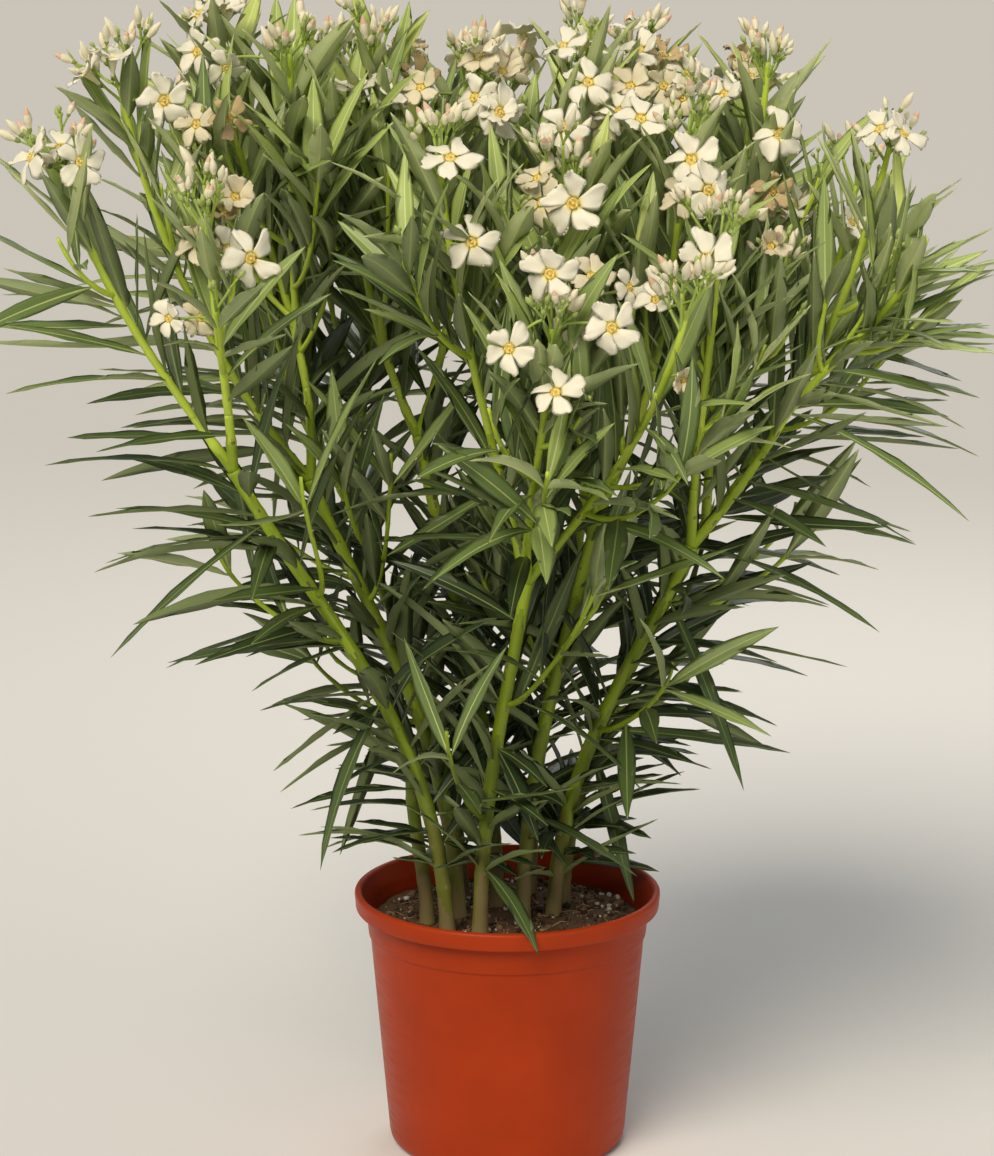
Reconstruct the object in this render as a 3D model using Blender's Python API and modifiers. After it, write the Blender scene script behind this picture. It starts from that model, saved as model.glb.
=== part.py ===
"""Potted oleander: a many-stemmed flowering shrub in a moulded nursery pot.

Metres, +Z up.  The origin is the centre of the pot's flat underside, and -Y is the front.
Canes rise from the compost and fork.  Each arm of a fork carries a bough, and each bough a mass
of leafy shoots that end in a cluster of star-shaped flowers.  Short side shoots clothe the canes.
"""
import math
import random

import bmesh
import bpy
import numpy as np
from mathutils import Matrix
from mathutils import Vector

# ------------------------------------------------------------------ driving sizes
GAP = 0.0003                # air between neighbouring pieces
POT_HEIGHT = 0.205
RIM_RADIUS = 0.120          # outside of the lip
LIP_DEPTH = 0.014           # height of the lip round the rim
COLLAR_DEPTH = 0.022        # plain band under the lip
COLLAR_TOP = 0.1112         # outside radius under the lip
COLLAR_FOOT = 0.1088        # outside radius just above the step
BODY_TOP = 0.1075           # outside radius under the step
BODY_FOOT = 0.0932          # outside radius above the bottom corner
CORNER = 0.010              # radius of the bottom corner
WALL = 0.0017
FLOOR = 0.0022
DRAIN_HOLES = 6
TURN_STEPS = 32             # facets round the pot
DRAIN_RADIUS = 0.0055
COMPOST_TOP = 0.1820
CANE_FOOT = 0.0062          # cane radius at the compost, before its flare
CANE_HEAD = 0.0044          # cane radius at the fork
FLARE = 1.35                # how much wider the foot is than the cane above it
ARM = 0.016                 # length of a fork's arm
BOUGH_FOOT = 0.0038
BOUGH_HEAD = 0.0031
STEM_FOOT = 0.0036          # three-sided stems, so wider than the round ones they stand for
STEM_HEAD = 0.0021
TWIG = 0.0016
WHORL_STEP = 0.0312         # height between whorls of three leaves
LEAF_LENGTH = 0.138
LEAF_WIDTH = 0.0290
LEAF_THICK = 0.0017
LEAF_WAIST = 0.42           # where a leaf is widest, as a share of its length
PETAL_REACH = 0.027         # centre to petal tip
PETAL_NOTCH = 0.011         # centre to the notch between petals
TUBE = 0.020                # depth of a flower from its mouth to its stalk
BUD = 0.021
HANG = 0.30                 # how much of a leaf's downward turn remains, as blades seek the light
HANG_LOW = 0.50             # the same on the low side shoots
CLEAR = 0.0012              # least air between a leaf and a limb, or the edge of its space
SEED = 20
# A blade that doesn't fit is tried again: share of its angle, share of its length, turn (rad)
TRIES = ((1.0, 1.0, 0.0), (0.9, 1.0, 0.0), (0.78, 1.0, 0.3), (0.78, 0.96, -0.6),
         (0.66, 0.96, 0.3), (0.62, 0.90, 0.3), (0.50, 0.88, -0.3), (0.50, 0.80, -0.3),
         (0.70, 0.72, 0.3))

# name, foot (x, y) on the compost, fork (x, y, z)
CANES = (
    ("left_front", (-0.046, -0.048), (-0.200, -0.112, 0.556)),
    ("left_mid", (-0.038, -0.008), (-0.152, 0.022, 0.525)),
    ("centre_front", (-0.021, -0.054), (0.014, -0.080, 0.466)),
    ("centre_right", (0.012, -0.020), (0.068, -0.016, 0.505)),
    ("right_front", (0.036, -0.010), (0.138, -0.048, 0.487)),
    ("right_back", (0.044, 0.030), (0.158, 0.090, 0.478)),
    ("back_right", (0.018, 0.052), (0.064, 0.148, 0.490)),
    ("back_mid", (-0.008, 0.020), (-0.070, 0.078, 0.550)),
    ("back_left", (-0.036, 0.044), (-0.128, 0.160, 0.480)),
)
STUB = ((-0.062, -0.024), (-0.074, -0.024, 0.300))      # an old cane, pruned off short

# mass, cane, share of the way that is bare bough, flower clusters (x, y, z, open flowers).
# A mass with no share grows straight from its cane's arm.
MASSES = (
    ("far_left", "left_front", 0.17, ((-0.318, -0.130, 0.783, 3),)),
    ("left_face", "left_front", 0.18, ((-0.210, -0.175, 0.745, 3),)),
    ("left_outer", "left_mid", 0.20, ((-0.288, -0.010, 0.828, 3),)),
    ("left_crest", "left_mid", 0.20, ((-0.222, 0.055, 0.862, 2), (-0.160, -0.030, 0.852, 2))),
    ("mid_crest", "back_mid", 0.16, ((-0.128, 0.085, 0.828, 2), (-0.100, 0.010, 0.858, 0))),
    ("mid_heart", "back_mid", 0.16, ((-0.030, 0.060, 0.826, 3),)),
    ("centre_face", "centre_front", 0.20, ((-0.050, -0.118, 0.785, 3),)),
    ("front_bouquet", "centre_front", 0.18, ((0.030, -0.205, 0.672, 4),)),
    ("front_right", "centre_front", 0.20, ((0.124, -0.190, 0.682, 1),)),
    ("centre_heart", "centre_right", 0.0, ((0.040, -0.070, 0.760, 3), (0.056, 0.050, 0.850, 3))),
    ("right_heart", "centre_right", 0.0, ((0.134, -0.020, 0.795, 3),)),
    ("right_face", "right_front", 0.18, ((0.150, -0.120, 0.718, 3), (0.198, -0.050, 0.690, 1))),
    ("far_right", "right_front", 0.26, ((0.282, -0.030, 0.786, 2), (0.300, -0.110, 0.725, 0))),
    ("right_crest", "right_back", 0.16, ((0.198, 0.055, 0.842, 3),)),
    ("right_outer", "right_back", 0.0, ((0.272, 0.095, 0.745, 2),)),
    ("back_right_crest", "right_back", 0.0, ((0.198, 0.190, 0.800, 2),)),
    ("back_crest", "back_right", 0.0, ((0.098, 0.120, 0.842, 3), (0.110, 0.225, 0.800, 2))),
    ("back_centre", "back_right", 0.0, ((-0.004, 0.215, 0.812, 3),)),
    ("back_left_crest", "back_left", 0.0, ((-0.108, 0.205, 0.818, 3),)),
    ("back_left_outer", "back_left", 0.0, ((-0.232, 0.160, 0.795, 3),)),
)

# side shoot, cane, share of the cane below it, tip (x, y, z)
SIDE_SHOOTS = (
    ("left_front_low", "left_front", 0.62, (-0.214, -0.098, 0.498)),
    ("left_front_high", "left_front", 0.72, (-0.148, -0.160, 0.560)),
    ("left_mid_low", "left_mid", 0.44, (-0.160, 0.030, 0.400)),
    ("left_mid_high", "left_mid", 0.72, (-0.088, -0.030, 0.555)),
    ("front_low", "centre_front", 0.34, (-0.045, -0.130, 0.365)),
    ("front_high", "centre_front", 0.66, (0.068, -0.128, 0.490)),
    ("centre_low", "centre_right", 0.60, (0.010, -0.004, 0.474)),
    ("right_front_low", "right_front", 0.50, (0.122, -0.100, 0.410)),
    ("right_front_high", "right_front", 0.80, (0.222, -0.040, 0.500)),
    ("right_back_low", "right_back", 0.50, (0.150, 0.080, 0.370)),
    ("right_back_high", "right_back", 0.80, (0.232, 0.120, 0.490)),
    ("back_low", "back_right", 0.56, (0.030, 0.190, 0.410)),
    ("back_mid_low", "back_mid", 0.50, (-0.030, 0.110, 0.450)),
    ("back_left_low", "back_left", 0.52, (-0.150, 0.130, 0.380)),
    ("back_left_high", "back_left", 0.80, (-0.206, 0.185, 0.480)),
)


# ------------------------------------------------------------------ materials and helpers
def material(name, colour, roughness):
    mat = bpy.data.materials.new(name)
    mat.use_nodes = True
    shader = mat.node_tree.nodes["Principled BSDF"]
    shader.inputs["Base Color"].default_value = (*colour, 1.0)
    shader.inputs["Roughness"].default_value = roughness
    shader.inputs["Metallic"].default_value = 0.0
    mat.diffuse_color = (*colour, 1.0)
    return mat


def add_object(name, bm, mat, home):
    mesh = bpy.data.meshes.new(name)
    bm.to_mesh(mesh)
    bm.free()
    mesh.materials.append(mat)
    obj = bpy.data.objects.new(name, mesh)
    home.objects.link(obj)
    return obj


def unit(v):
    v = np.asarray(v, float)
    return v / np.linalg.norm(v)


def bezier(p0, p1, p2, p3, count=65):
    """A cubic curve as `count` points evenly spaced along its length."""
    t = np.linspace(0.0, 1.0, 4 * count)[:, None]
    raw = (1 - t) ** 3 * p0 + 3 * (1 - t) ** 2 * t * p1 + 3 * (1 - t) * t * t * p2 + t ** 3 * p3
    run = np.r_[0.0, np.cumsum(np.linalg.norm(np.diff(raw, axis=0), axis=1))]
    even = np.linspace(0.0, run[-1], count)
    return np.stack([np.interp(even, run, raw[:, k]) for k in range(3)], axis=1)


def length(path):
    return float(np.linalg.norm(np.diff(path, axis=0), axis=1).sum())


def part_of(path, start, end, count):
    """The stretch of a path between two distances along it, as `count` points."""
    run = np.r_[0.0, np.cumsum(np.linalg.norm(np.diff(path, axis=0), axis=1))]
    even = np.linspace(start, end, count)
    return np.stack([np.interp(even, run, path[:, k]) for k in range(3)], axis=1)


def tangent(path, s):
    a, b = part_of(path, max(0.0, s - 0.002), s + 0.002, 2)
    return unit(b - a)


def cross_axes(t):
    """Two directions square to t."""
    side = unit(np.cross(t, (0.31, 0.94, 0.12) if abs(t[2]) > 0.9 else (0.0, 0.0, 1.0)))
    return side, np.cross(t, side)


def limb_mesh(path, radii, sides, first=None, last=None):
    """A capped cone primitive cut into rings, with each ring moved to its place on the path.

    `first` and `last` are the directions that the two cut ends face, where they meet another limb.
    """
    rings = len(path)
    bm = bmesh.new()
    bmesh.ops.create_cone(bm, cap_ends=True, segments=sides, radius1=1.0, radius2=1.0, depth=1.0)
    for k in range(1, rings - 1):
        geom = bm.verts[:] + bm.edges[:] + bm.faces[:]
        level = Vector((0.0, 0.0, k / (rings - 1) - 0.5))
        bmesh.ops.bisect_plane(bm, geom=geom, dist=1e-6, plane_co=level, plane_no=Vector((0, 0, 1)))
    steps = [unit(path[min(k + 1, rings - 1)] - path[max(k - 1, 0)]) for k in range(rings)]
    steps[0] = steps[0] if first is None else first
    steps[-1] = steps[-1] if last is None else last
    side, _ = cross_axes(steps[0])
    frames = []
    for step in steps:
        side = unit(side - step * np.dot(side, step))
        frames.append((side, np.cross(step, side)))
    for v in bm.verts:
        k = round((v.co.z + 0.5) * (rings - 1))
        a, b = frames[k]
        v.co = Vector(path[k] + radii[k] * (v.co.x * a + v.co.y * b))
    return bm


def union_mesh(base, pieces, solver):
    """`base` joined with every object of the collection, cleaned of slivers, as a new bmesh."""
    union = base.modifiers.new("fuse", "BOOLEAN")
    union.operation = "UNION"
    union.operand_type = "COLLECTION"
    union.collection = pieces
    union.solver = solver
    union.material_mode = "TRANSFER"
    graph = bpy.context.evaluated_depsgraph_get()
    mesh = bpy.data.meshes.new_from_object(base.evaluated_get(graph))
    base.modifiers.clear()
    for merge in (1e-6, 0.0):
        bm = bmesh.new()
        bm.from_mesh(mesh)
        if merge:
            bmesh.ops.remove_doubles(bm, verts=bm.verts, dist=merge)
        drop_scraps(bm)
        if is_closed(bm):
            break
        print(base.name, solver, "open after merging at", merge)
    return bm, mesh


def is_closed(bm):
    return all(e.is_manifold for e in bm.edges) and all(v.is_manifold for v in bm.verts)


def fuse(base, pieces):
    """One Boolean union of a collection onto `base`, applied; the collection's objects then go.

    Where both solvers leave an open seam, one blade is left off and the union made again.
    """
    for attempt in range(12):
        bm, mesh = union_mesh(base, pieces, "MANIFOLD" if attempt % 2 else "EXACT")
        if is_closed(bm) or attempt == 11:
            break
        bm.free()
        bpy.data.meshes.remove(mesh)
        if attempt % 2:
            blades = sorted(o.name for o in pieces.objects if o.name.startswith("leaf"))
            bpy.data.objects.remove(bpy.data.objects[blades[-1 - attempt * 3 % len(blades)]])
    print(base.name, "closed after", attempt + 1)
    old = base.data
    title = old.name
    base.data = mesh
    bm.to_mesh(base.data)
    bm.free()
    bpy.data.meshes.remove(old)
    base.data.name = title
    for obj in list(pieces.objects):
        bpy.data.objects.remove(obj)
    bpy.data.collections.remove(pieces)


def drop_scraps(bm):
    """Keep the largest connected body."""
    groups = []
    seen = set()
    for start in bm.verts:
        if start in seen:
            continue
        group = [start]
        seen.add(start)
        for v in group:
            for e in v.link_edges:
                other = e.other_vert(v)
                if other not in seen:
                    seen.add(other)
                    group.append(other)
        groups.append(group)
    groups.sort(key=len)
    for group in groups[:-1]:
        bmesh.ops.delete(bm, geom=group, context="VERTS")


# ------------------------------------------------------------------ clean start
for old in list(bpy.data.objects):
    bpy.data.objects.remove(old)
scene_root = bpy.context.scene.collection
plant = bpy.data.collections.new("potted_oleander")
cutters = bpy.data.collections.new("cutters")
scene_root.children.link(plant)
scene_root.children.link(cutters)

POT_PLASTIC = material("moulded_pot_plastic", (0.42, 0.055, 0.018), 0.42)
COMPOST = material("potting_compost", (0.055, 0.032, 0.020), 0.95)
GREEN_BARK = material("green_cane_bark", (0.20, 0.27, 0.055), 0.50)
LEAF = material("oleander_leaf", (0.085, 0.130, 0.055), 0.42)
PETAL = material("cream_petal", (0.86, 0.80, 0.58), 0.55)
BUD_SKIN = material("flower_bud", (0.78, 0.66, 0.45), 0.55)

# ------------------------------------------------------------------ pot
# The pot is one turned shell: lip, collar, step, tapering wall, round bottom corner and flat floor.
lip_foot = POT_HEIGHT - LIP_DEPTH
step_top = lip_foot - COLLAR_DEPTH
outer = [
    (RIM_RADIUS - 0.0034, POT_HEIGHT),
    (RIM_RADIUS, POT_HEIGHT - 0.0030),
    (RIM_RADIUS - 0.0010, lip_foot),
    (COLLAR_TOP, lip_foot - 0.0012),
    (COLLAR_FOOT, step_top + 0.0006),
    (BODY_TOP, step_top - 0.0008),
    (BODY_FOOT, CORNER),
]
for turn in (45.0, 90.0):
    a = math.radians(turn)
    outer.append((BODY_FOOT - CORNER * (1 - math.cos(a)), CORNER * (1 - math.sin(a))))
inner = [
    (BODY_FOOT - WALL - 0.0050, FLOOR),
    (BODY_FOOT - WALL, CORNER + 0.0020),
    (BODY_TOP - WALL, step_top - 0.0012),
    (COLLAR_FOOT - WALL, step_top + 0.0014),
    (COLLAR_TOP - WALL, lip_foot - 0.0010),
    (RIM_RADIUS - 0.0054, POT_HEIGHT - 0.0010),
]
profile = [(0.0, FLOOR)] + inner + outer + [(0.0, 0.0)]
bm = bmesh.new()
ring = [bm.verts.new((r, 0.0, z)) for r, z in profile]
for a, b in zip(ring, ring[1:]):
    bm.edges.new((a, b))
pot = add_object("pot", bm, POT_PLASTIC, plant)
turn = pot.modifiers.new("turn", "SCREW")
turn.steps = TURN_STEPS
turn.render_steps = TURN_STEPS
turn.merge_threshold = 0.0001
turn.use_merge_vertices = True
turn.use_smooth_shade = True
for k in range(DRAIN_HOLES):
    a = math.tau * (k + 0.5) / DRAIN_HOLES
    bm = bmesh.new()
    bmesh.ops.create_cone(bm, cap_ends=True, segments=6, radius1=DRAIN_RADIUS,
                          radius2=DRAIN_RADIUS, depth=0.012)
    spot = Matrix.Translation((0.066 * math.cos(a), 0.066 * math.sin(a), 0.0))
    bmesh.ops.transform(bm, matrix=spot, verts=bm.verts)
    drill = add_object("drain_cutter_%d" % k, bm, POT_PLASTIC, cutters)
    drill.hide_render = True
    drill.display_type = "WIRE"
drain = pot.modifiers.new("drain", "BOOLEAN")
drain.operation = "DIFFERENCE"
drain.operand_type = "COLLECTION"
drain.collection = cutters

# ------------------------------------------------------------------ compost
# The compost fills the pot to a finger's breadth under the rim, level where the canes stand.
step_inside = BODY_TOP - WALL - GAP
slope = (BODY_TOP - BODY_FOOT) / (step_top - CORNER)
top_radius = COLLAR_FOOT - WALL - GAP - 0.0004
fill = [
    (0.0, COMPOST_TOP),
    (0.084, COMPOST_TOP),
    (top_radius, COMPOST_TOP - 0.0040),
    (step_inside - 0.0002, step_top - 0.0016),
    (BODY_FOOT - WALL - GAP - 0.0002, CORNER + 0.0020),
    (BODY_FOOT - WALL - 0.0056, FLOOR + GAP),
    (0.0, FLOOR + GAP),
]
bm = bmesh.new()
ring = [bm.verts.new((r, 0.0, z)) for r, z in fill]
for a, b in zip(ring, ring[1:]):
    bm.edges.new((a, b))
compost = add_object("compost", bm, COMPOST, plant)
turn = compost.modifiers.new("turn", "SCREW")
turn.steps = TURN_STEPS
turn.render_steps = TURN_STEPS
turn.merge_threshold = 0.0001
turn.use_merge_vertices = True

# ------------------------------------------------------------------ paths of every limb
UP = np.array((0.0, 0.0, 1.0))
GROUND = COMPOST_TOP + GAP


def cane_path(foot, fork):
    """Upright at the foot, then leaning out towards the fork."""
    p0 = np.array((*foot, GROUND))
    p3 = np.array(fork)
    out = p3 - p0
    p1 = p0 + UP * 0.45 * out[2] + np.array((out[0], out[1], 0.0)) * 0.04
    p2 = p3 - unit(out * (1.25, 1.25, 1.0)) * 0.33 * np.linalg.norm(out)
    return bezier(p0, p1, p2, p3)


def shoot_path(start, lean, tip, rise=0.55):
    """Leaves a fork along `lean` and swings more upright towards its tip."""
    p0 = np.asarray(start, float)
    p3 = np.asarray(tip, float)
    reach = np.linalg.norm(p3 - p0)
    end = unit(unit(p3 - p0) * (1 - rise) + UP * rise)
    return bezier(p0, p0 + unit(lean) * 0.34 * reach, p3 - end * 0.34 * reach, p3)


def fan_out(headings, least):
    """Turns the first directions of a fork's arms apart until they clear each other."""
    headings = [unit(h) for h in headings]
    for _ in range(60):
        for i in range(len(headings)):
            for j in range(i):
                if math.acos(np.clip(np.dot(headings[i], headings[j]), -1, 1)) < least:
                    push = headings[i] - headings[j]
                    headings[i] = unit(headings[i] + 0.06 * unit(push))
                    headings[j] = unit(headings[j] - 0.06 * unit(push))
    return headings


cane_paths = {name: cane_path(foot, fork) for name, foot, fork in CANES}
boughs = {}
arms = {}
for cane, _, fork in CANES:
    carried = [m for m in MASSES if m[1] == cane]
    lean = tangent(cane_paths[cane], length(cane_paths[cane]) - 0.003)
    aims = []
    for name, _, share, tips in carried:
        middle = np.mean([t[:3] for t in tips], axis=0)
        aims.append(unit(unit(middle - np.array(fork)) * 0.75 + lean * 0.25))
    aims = fan_out(aims, math.radians(40.0))
    arms[cane] = []
    for aim, (name, _, share, tips) in zip(aims, carried):
        boughs[name] = shoot_path(fork, aim, tips[0][:3])
        arms[cane].append(boughs[name])

# ------------------------------------------------------------------ canes and boughs
limb_lines = []             # every cane and bough as straight runs with their radii
cane_lines = {}             # each cane's own stations


def note_limb(path, radii):
    for a, b, ra, rb in zip(path, path[1:], radii, radii[1:]):
        limb_lines.append((*a, *b, max(ra, rb)))


for name, foot, fork in CANES:
    path = cane_paths[name]
    total = length(path)
    stations = np.array((0.0, 0.04, 0.24, 0.44, 0.64, 0.82, 1.0)) * total
    points = np.array([part_of(path, s, s, 1)[0] for s in stations])
    radii = [CANE_FOOT + (CANE_HEAD - CANE_FOOT) * s / total for s in stations]
    radii[0] *= FLARE
    radii[1] *= 1.12
    bm = limb_mesh(points, radii, 6)
    for v in bm.verts:
        if v.co.z < GROUND + 0.004:
            v.co.z = GROUND
    cane = add_object("cane_" + name, bm, GREEN_BARK, plant)
    pieces = bpy.data.collections.new("arms")
    scene_root.children.link(pieces)
    for k, arm in enumerate(arms[name]):
        back = path[-1] - (path[-1] - path[-4]) * (0.30 + 0.08 * k)
        line = np.array((back, part_of(arm, ARM, ARM, 1)[0]))
        thick = [CANE_HEAD * 0.90, BOUGH_FOOT]
        bm = limb_mesh(line, thick, 6, None, tangent(arm, ARM))
        add_object("arm", bm, GREEN_BARK, pieces)
        note_limb(line, thick)
    fuse(cane, pieces)
    note_limb(points, radii)
    cane_lines[name] = points

foot, head = STUB
points = bezier(np.array((*foot, GROUND)), np.array((*foot, GROUND + 0.04)),
                np.array(head) - UP * 0.04, np.array(head), 5)
radii = [CANE_FOOT * 1.20, CANE_FOOT * 0.95, CANE_FOOT * 0.90, CANE_FOOT * 0.86, CANE_FOOT * 0.84]
bm = limb_mesh(points, radii, 6)
for v in bm.verts:
    if v.co.z < GROUND + 0.004:
        v.co.z = GROUND
add_object("cane_pruned_stub", bm, GREEN_BARK, plant)
note_limb(points, radii)

bough_ends = {}
for name, cane, share, tips in MASSES:
    path = boughs[name]
    bough_ends[name] = ARM
    if share == 0.0:
        continue
    end = max(ARM + 0.030, share * length(path))
    bough_ends[name] = end
    points = part_of(path, ARM + GAP, end, 4)
    radii = np.linspace(BOUGH_FOOT, BOUGH_HEAD, 4)
    bm = limb_mesh(points, radii, 6, tangent(path, ARM + GAP), tangent(path, end))
    add_object("bough_" + name, bm, GREEN_BARK, plant)
    note_limb(points, radii)

# ------------------------------------------------------------------ the space of each mass
# A mass owns what lies nearer to its own stems than to any other mass's.
stems = {}                  # mass: list of (spine, last leaf, end of the stem, open flowers)


def spine_of(path, start, bare):
    """Five stations up to the end of the stem, and the shoot's tip above it."""
    stop = length(path) - bare
    spine = np.vstack((part_of(path, start, stop, 5), path[-1:])) if bare else part_of(path, start, stop, 5)
    return spine, stop - start


for name, cane, share, tips in MASSES:
    path = boughs[name]
    spine, stop = spine_of(path, bough_ends[name] + GAP, 0.032)
    stems[name] = [(spine, stop, tips[0][3], tangent(path, bough_ends[name] + GAP))]
    for tip in tips[1:]:
        root = part_of(spine, 0.030, 0.030, 1)[0]
        lean = unit(unit(np.array(tip[:3]) - root) + tangent(spine, 0.030) * 0.4)
        branch, stop = spine_of(shoot_path(root, lean, tip[:3]), 0.0, 0.032)
        stems[name].append((branch, stop, tip[3], None))
for name, cane, share, tip in SIDE_SHOOTS:
    line = cane_lines[cane]
    s = share * length(line)
    root = part_of(line, s, s, 1)[0]
    t = tangent(line, s)
    radius = CANE_FOOT + (CANE_HEAD - CANE_FOOT) * share
    aim = np.array(tip) - root
    aim = unit(aim - t * np.dot(aim, t))
    root = root + aim * (radius + GAP)
    side = bezier(root, root + aim * 0.020, np.array(tip) - UP * 0.03, np.array(tip))
    spine, stop = spine_of(side, 0.0, 0.0)
    stems["side_" + name] = [(spine, stop, -1, aim)]

owners = []
runs = []
for name, shoots in stems.items():
    for spine, stop, flowers, first in shoots:
        for a, b in zip(spine, spine[1:]):
            owners.append(name)
            runs.append((*a, *b))
runs = np.array(runs)
owners = np.array(owners)
limbs = np.array(limb_lines)


def distance(points, lines):
    """Distances from each point to each straight run."""
    a = lines[:, 0:3]
    ab = lines[:, 3:6] - a
    ap = points[:, None, :] - a
    t = np.clip((ap * ab).sum(2) / (ab * ab).sum(1), 0.0, 1.0)
    return np.linalg.norm(ap - t[..., None] * ab, axis=2)


def in_space(name, points):
    gaps = distance(points, runs)
    mine = gaps[:, owners == name].min(1)
    theirs = gaps[:, owners != name].min(1)
    return bool((theirs - mine > 2 * CLEAR).all())


def clears_limbs(points):
    if not ((distance(points, limbs) - limbs[:, 6]).min() > CLEAR):
        return False
    out = np.hypot(points[:, 0], points[:, 1])
    low = points[:, 2] < POT_HEIGHT + 0.004
    return not bool((low & (out < RIM_RADIUS + 0.004)).any())


# ------------------------------------------------------------------ leaves and flowers
def blade_points(base, waist, tip, side, width, rows=13):
    """Sample points over a blade, for the space tests."""
    steps = np.linspace(0.06, 1.0, 2 * rows)
    out = []
    for t in steps:
        if t < LEAF_WAIST:
            f = t / LEAF_WAIST
            mid = base + (waist - base) * f
        else:
            f = (1 - t) / (1 - LEAF_WAIST)
            mid = tip + (waist - tip) * f
        for across in (-1.0, -0.5, 0.0, 0.5, 1.0):
            out.append(mid + side * across * 0.5 * width * f)
    return np.array(out)


def blade_mesh(base, waist, tip, side, up, width, thick):
    """A keeled blade: a three-sided sphere primitive drawn out from its root to its tip."""
    bm = bmesh.new()
    bmesh.ops.create_uvsphere(bm, u_segments=3, v_segments=2, radius=1.0)
    for v in bm.verts:
        x, y, z = v.co
        if z < -0.5:
            v.co = Vector(base)
        elif z > 0.5:
            v.co = Vector(tip)
        else:
            turn = math.atan2(y, x) - math.pi / 2
            across = math.sin(turn) / math.sin(math.tau / 3)
            deep = 1.0 if abs(across) < 0.1 else 0.0
            v.co = Vector(waist + side * across * width / 2 - up * deep * thick)
    return bm


def star_mesh(mouth, facing, spin):
    """A five-petalled flower: a ten-sided double cone with every other corner drawn in."""
    a, b = cross_axes(facing)
    bm = bmesh.new()
    bmesh.ops.create_uvsphere(bm, u_segments=10, v_segments=2, radius=1.0)
    for v in bm.verts:
        x, y, z = v.co
        if z < -0.5:
            v.co = Vector(mouth - facing * TUBE)
        elif z > 0.5:
            v.co = Vector(mouth - facing * 0.001)
        else:
            k = round(math.atan2(y, x) / math.tau * 10) % 10
            r = PETAL_REACH if k % 2 == 0 else PETAL_NOTCH
            angle = spin + k * math.tau / 10
            lift = 0.002 if k % 2 == 0 else -0.0015
            v.co = Vector(mouth + facing * lift + r * (a * math.cos(angle) + b * math.sin(angle)))
    return bm


def leaves_on(name, path, start, end, rng, pieces, taken, side_shoot):
    """Whorls of three leaves up a stem, each turned 60 degrees from the last."""
    count = max(3, round((end - start) / WHORL_STEP))
    turn = rng.uniform(0.0, math.tau)
    made = 0
    for k in range(count):
        f = (k + 0.15) / count
        s = start + (end - start) * (0.03 + 0.96 * f)
        root = part_of(path, s, s, 1)[0]
        t = tangent(path, s)
        a, b = cross_axes(t)
        turn += math.radians(60.0)
        for j in range(3):
            phi = turn + j * math.tau / 3 + rng.uniform(-0.22, 0.22)
            out = a * math.cos(phi) + b * math.sin(phi)
            pitch = math.radians(84.0 - 46.0 * f + rng.uniform(-7.0, 7.0))
            size = (1.08 - 0.34 * f) * rng.uniform(0.90, 1.08)
            if side_shoot:
                pitch = math.radians(88.0 - 50.0 * f + rng.uniform(-8.0, 8.0))
                size = (0.96 - 0.24 * f) * rng.uniform(0.9, 1.08)
            for ease, shrink, swing in TRIES:
                lean = pitch * ease
                span = LEAF_LENGTH * size * shrink
                phi += swing
                out = a * math.cos(phi) + b * math.sin(phi)
                aim = t * math.cos(lean) + out * math.sin(lean)
                if aim[2] < 0.0:
                    aim[2] *= HANG_LOW if side_shoot else HANG
                aim = unit(aim)
                side = unit(np.cross(aim, t))
                up = np.cross(side, aim)
                droop = 0.16 * span * math.hypot(aim[0], aim[1]) ** 2
                waist = root + aim * LEAF_WAIST * span + up * 0.045 * span - UP * droop * 0.25
                tip = root + aim * span - up * 0.020 * span - UP * droop
                width = LEAF_WIDTH * (0.80 + 0.20 * size)
                probe = blade_points(root, waist, tip, side, width)
                far = probe[25:]
                if not in_space(name, probe[10:]):
                    continue
                if not clears_limbs(probe[10:]):
                    continue
                if taken and min(np.linalg.norm(far[:, None] - q, axis=2).min() for q in taken) < 0.0028:
                    continue
                taken.append(far)
                sunk = root + out * 0.0004 + t * (j - 1) * 0.0007
                bm = blade_mesh(sunk, waist, tip, side, up, width, LEAF_THICK)
                add_object("leaf", bm, LEAF, pieces)
                made += 1
                break
    return made


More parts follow.
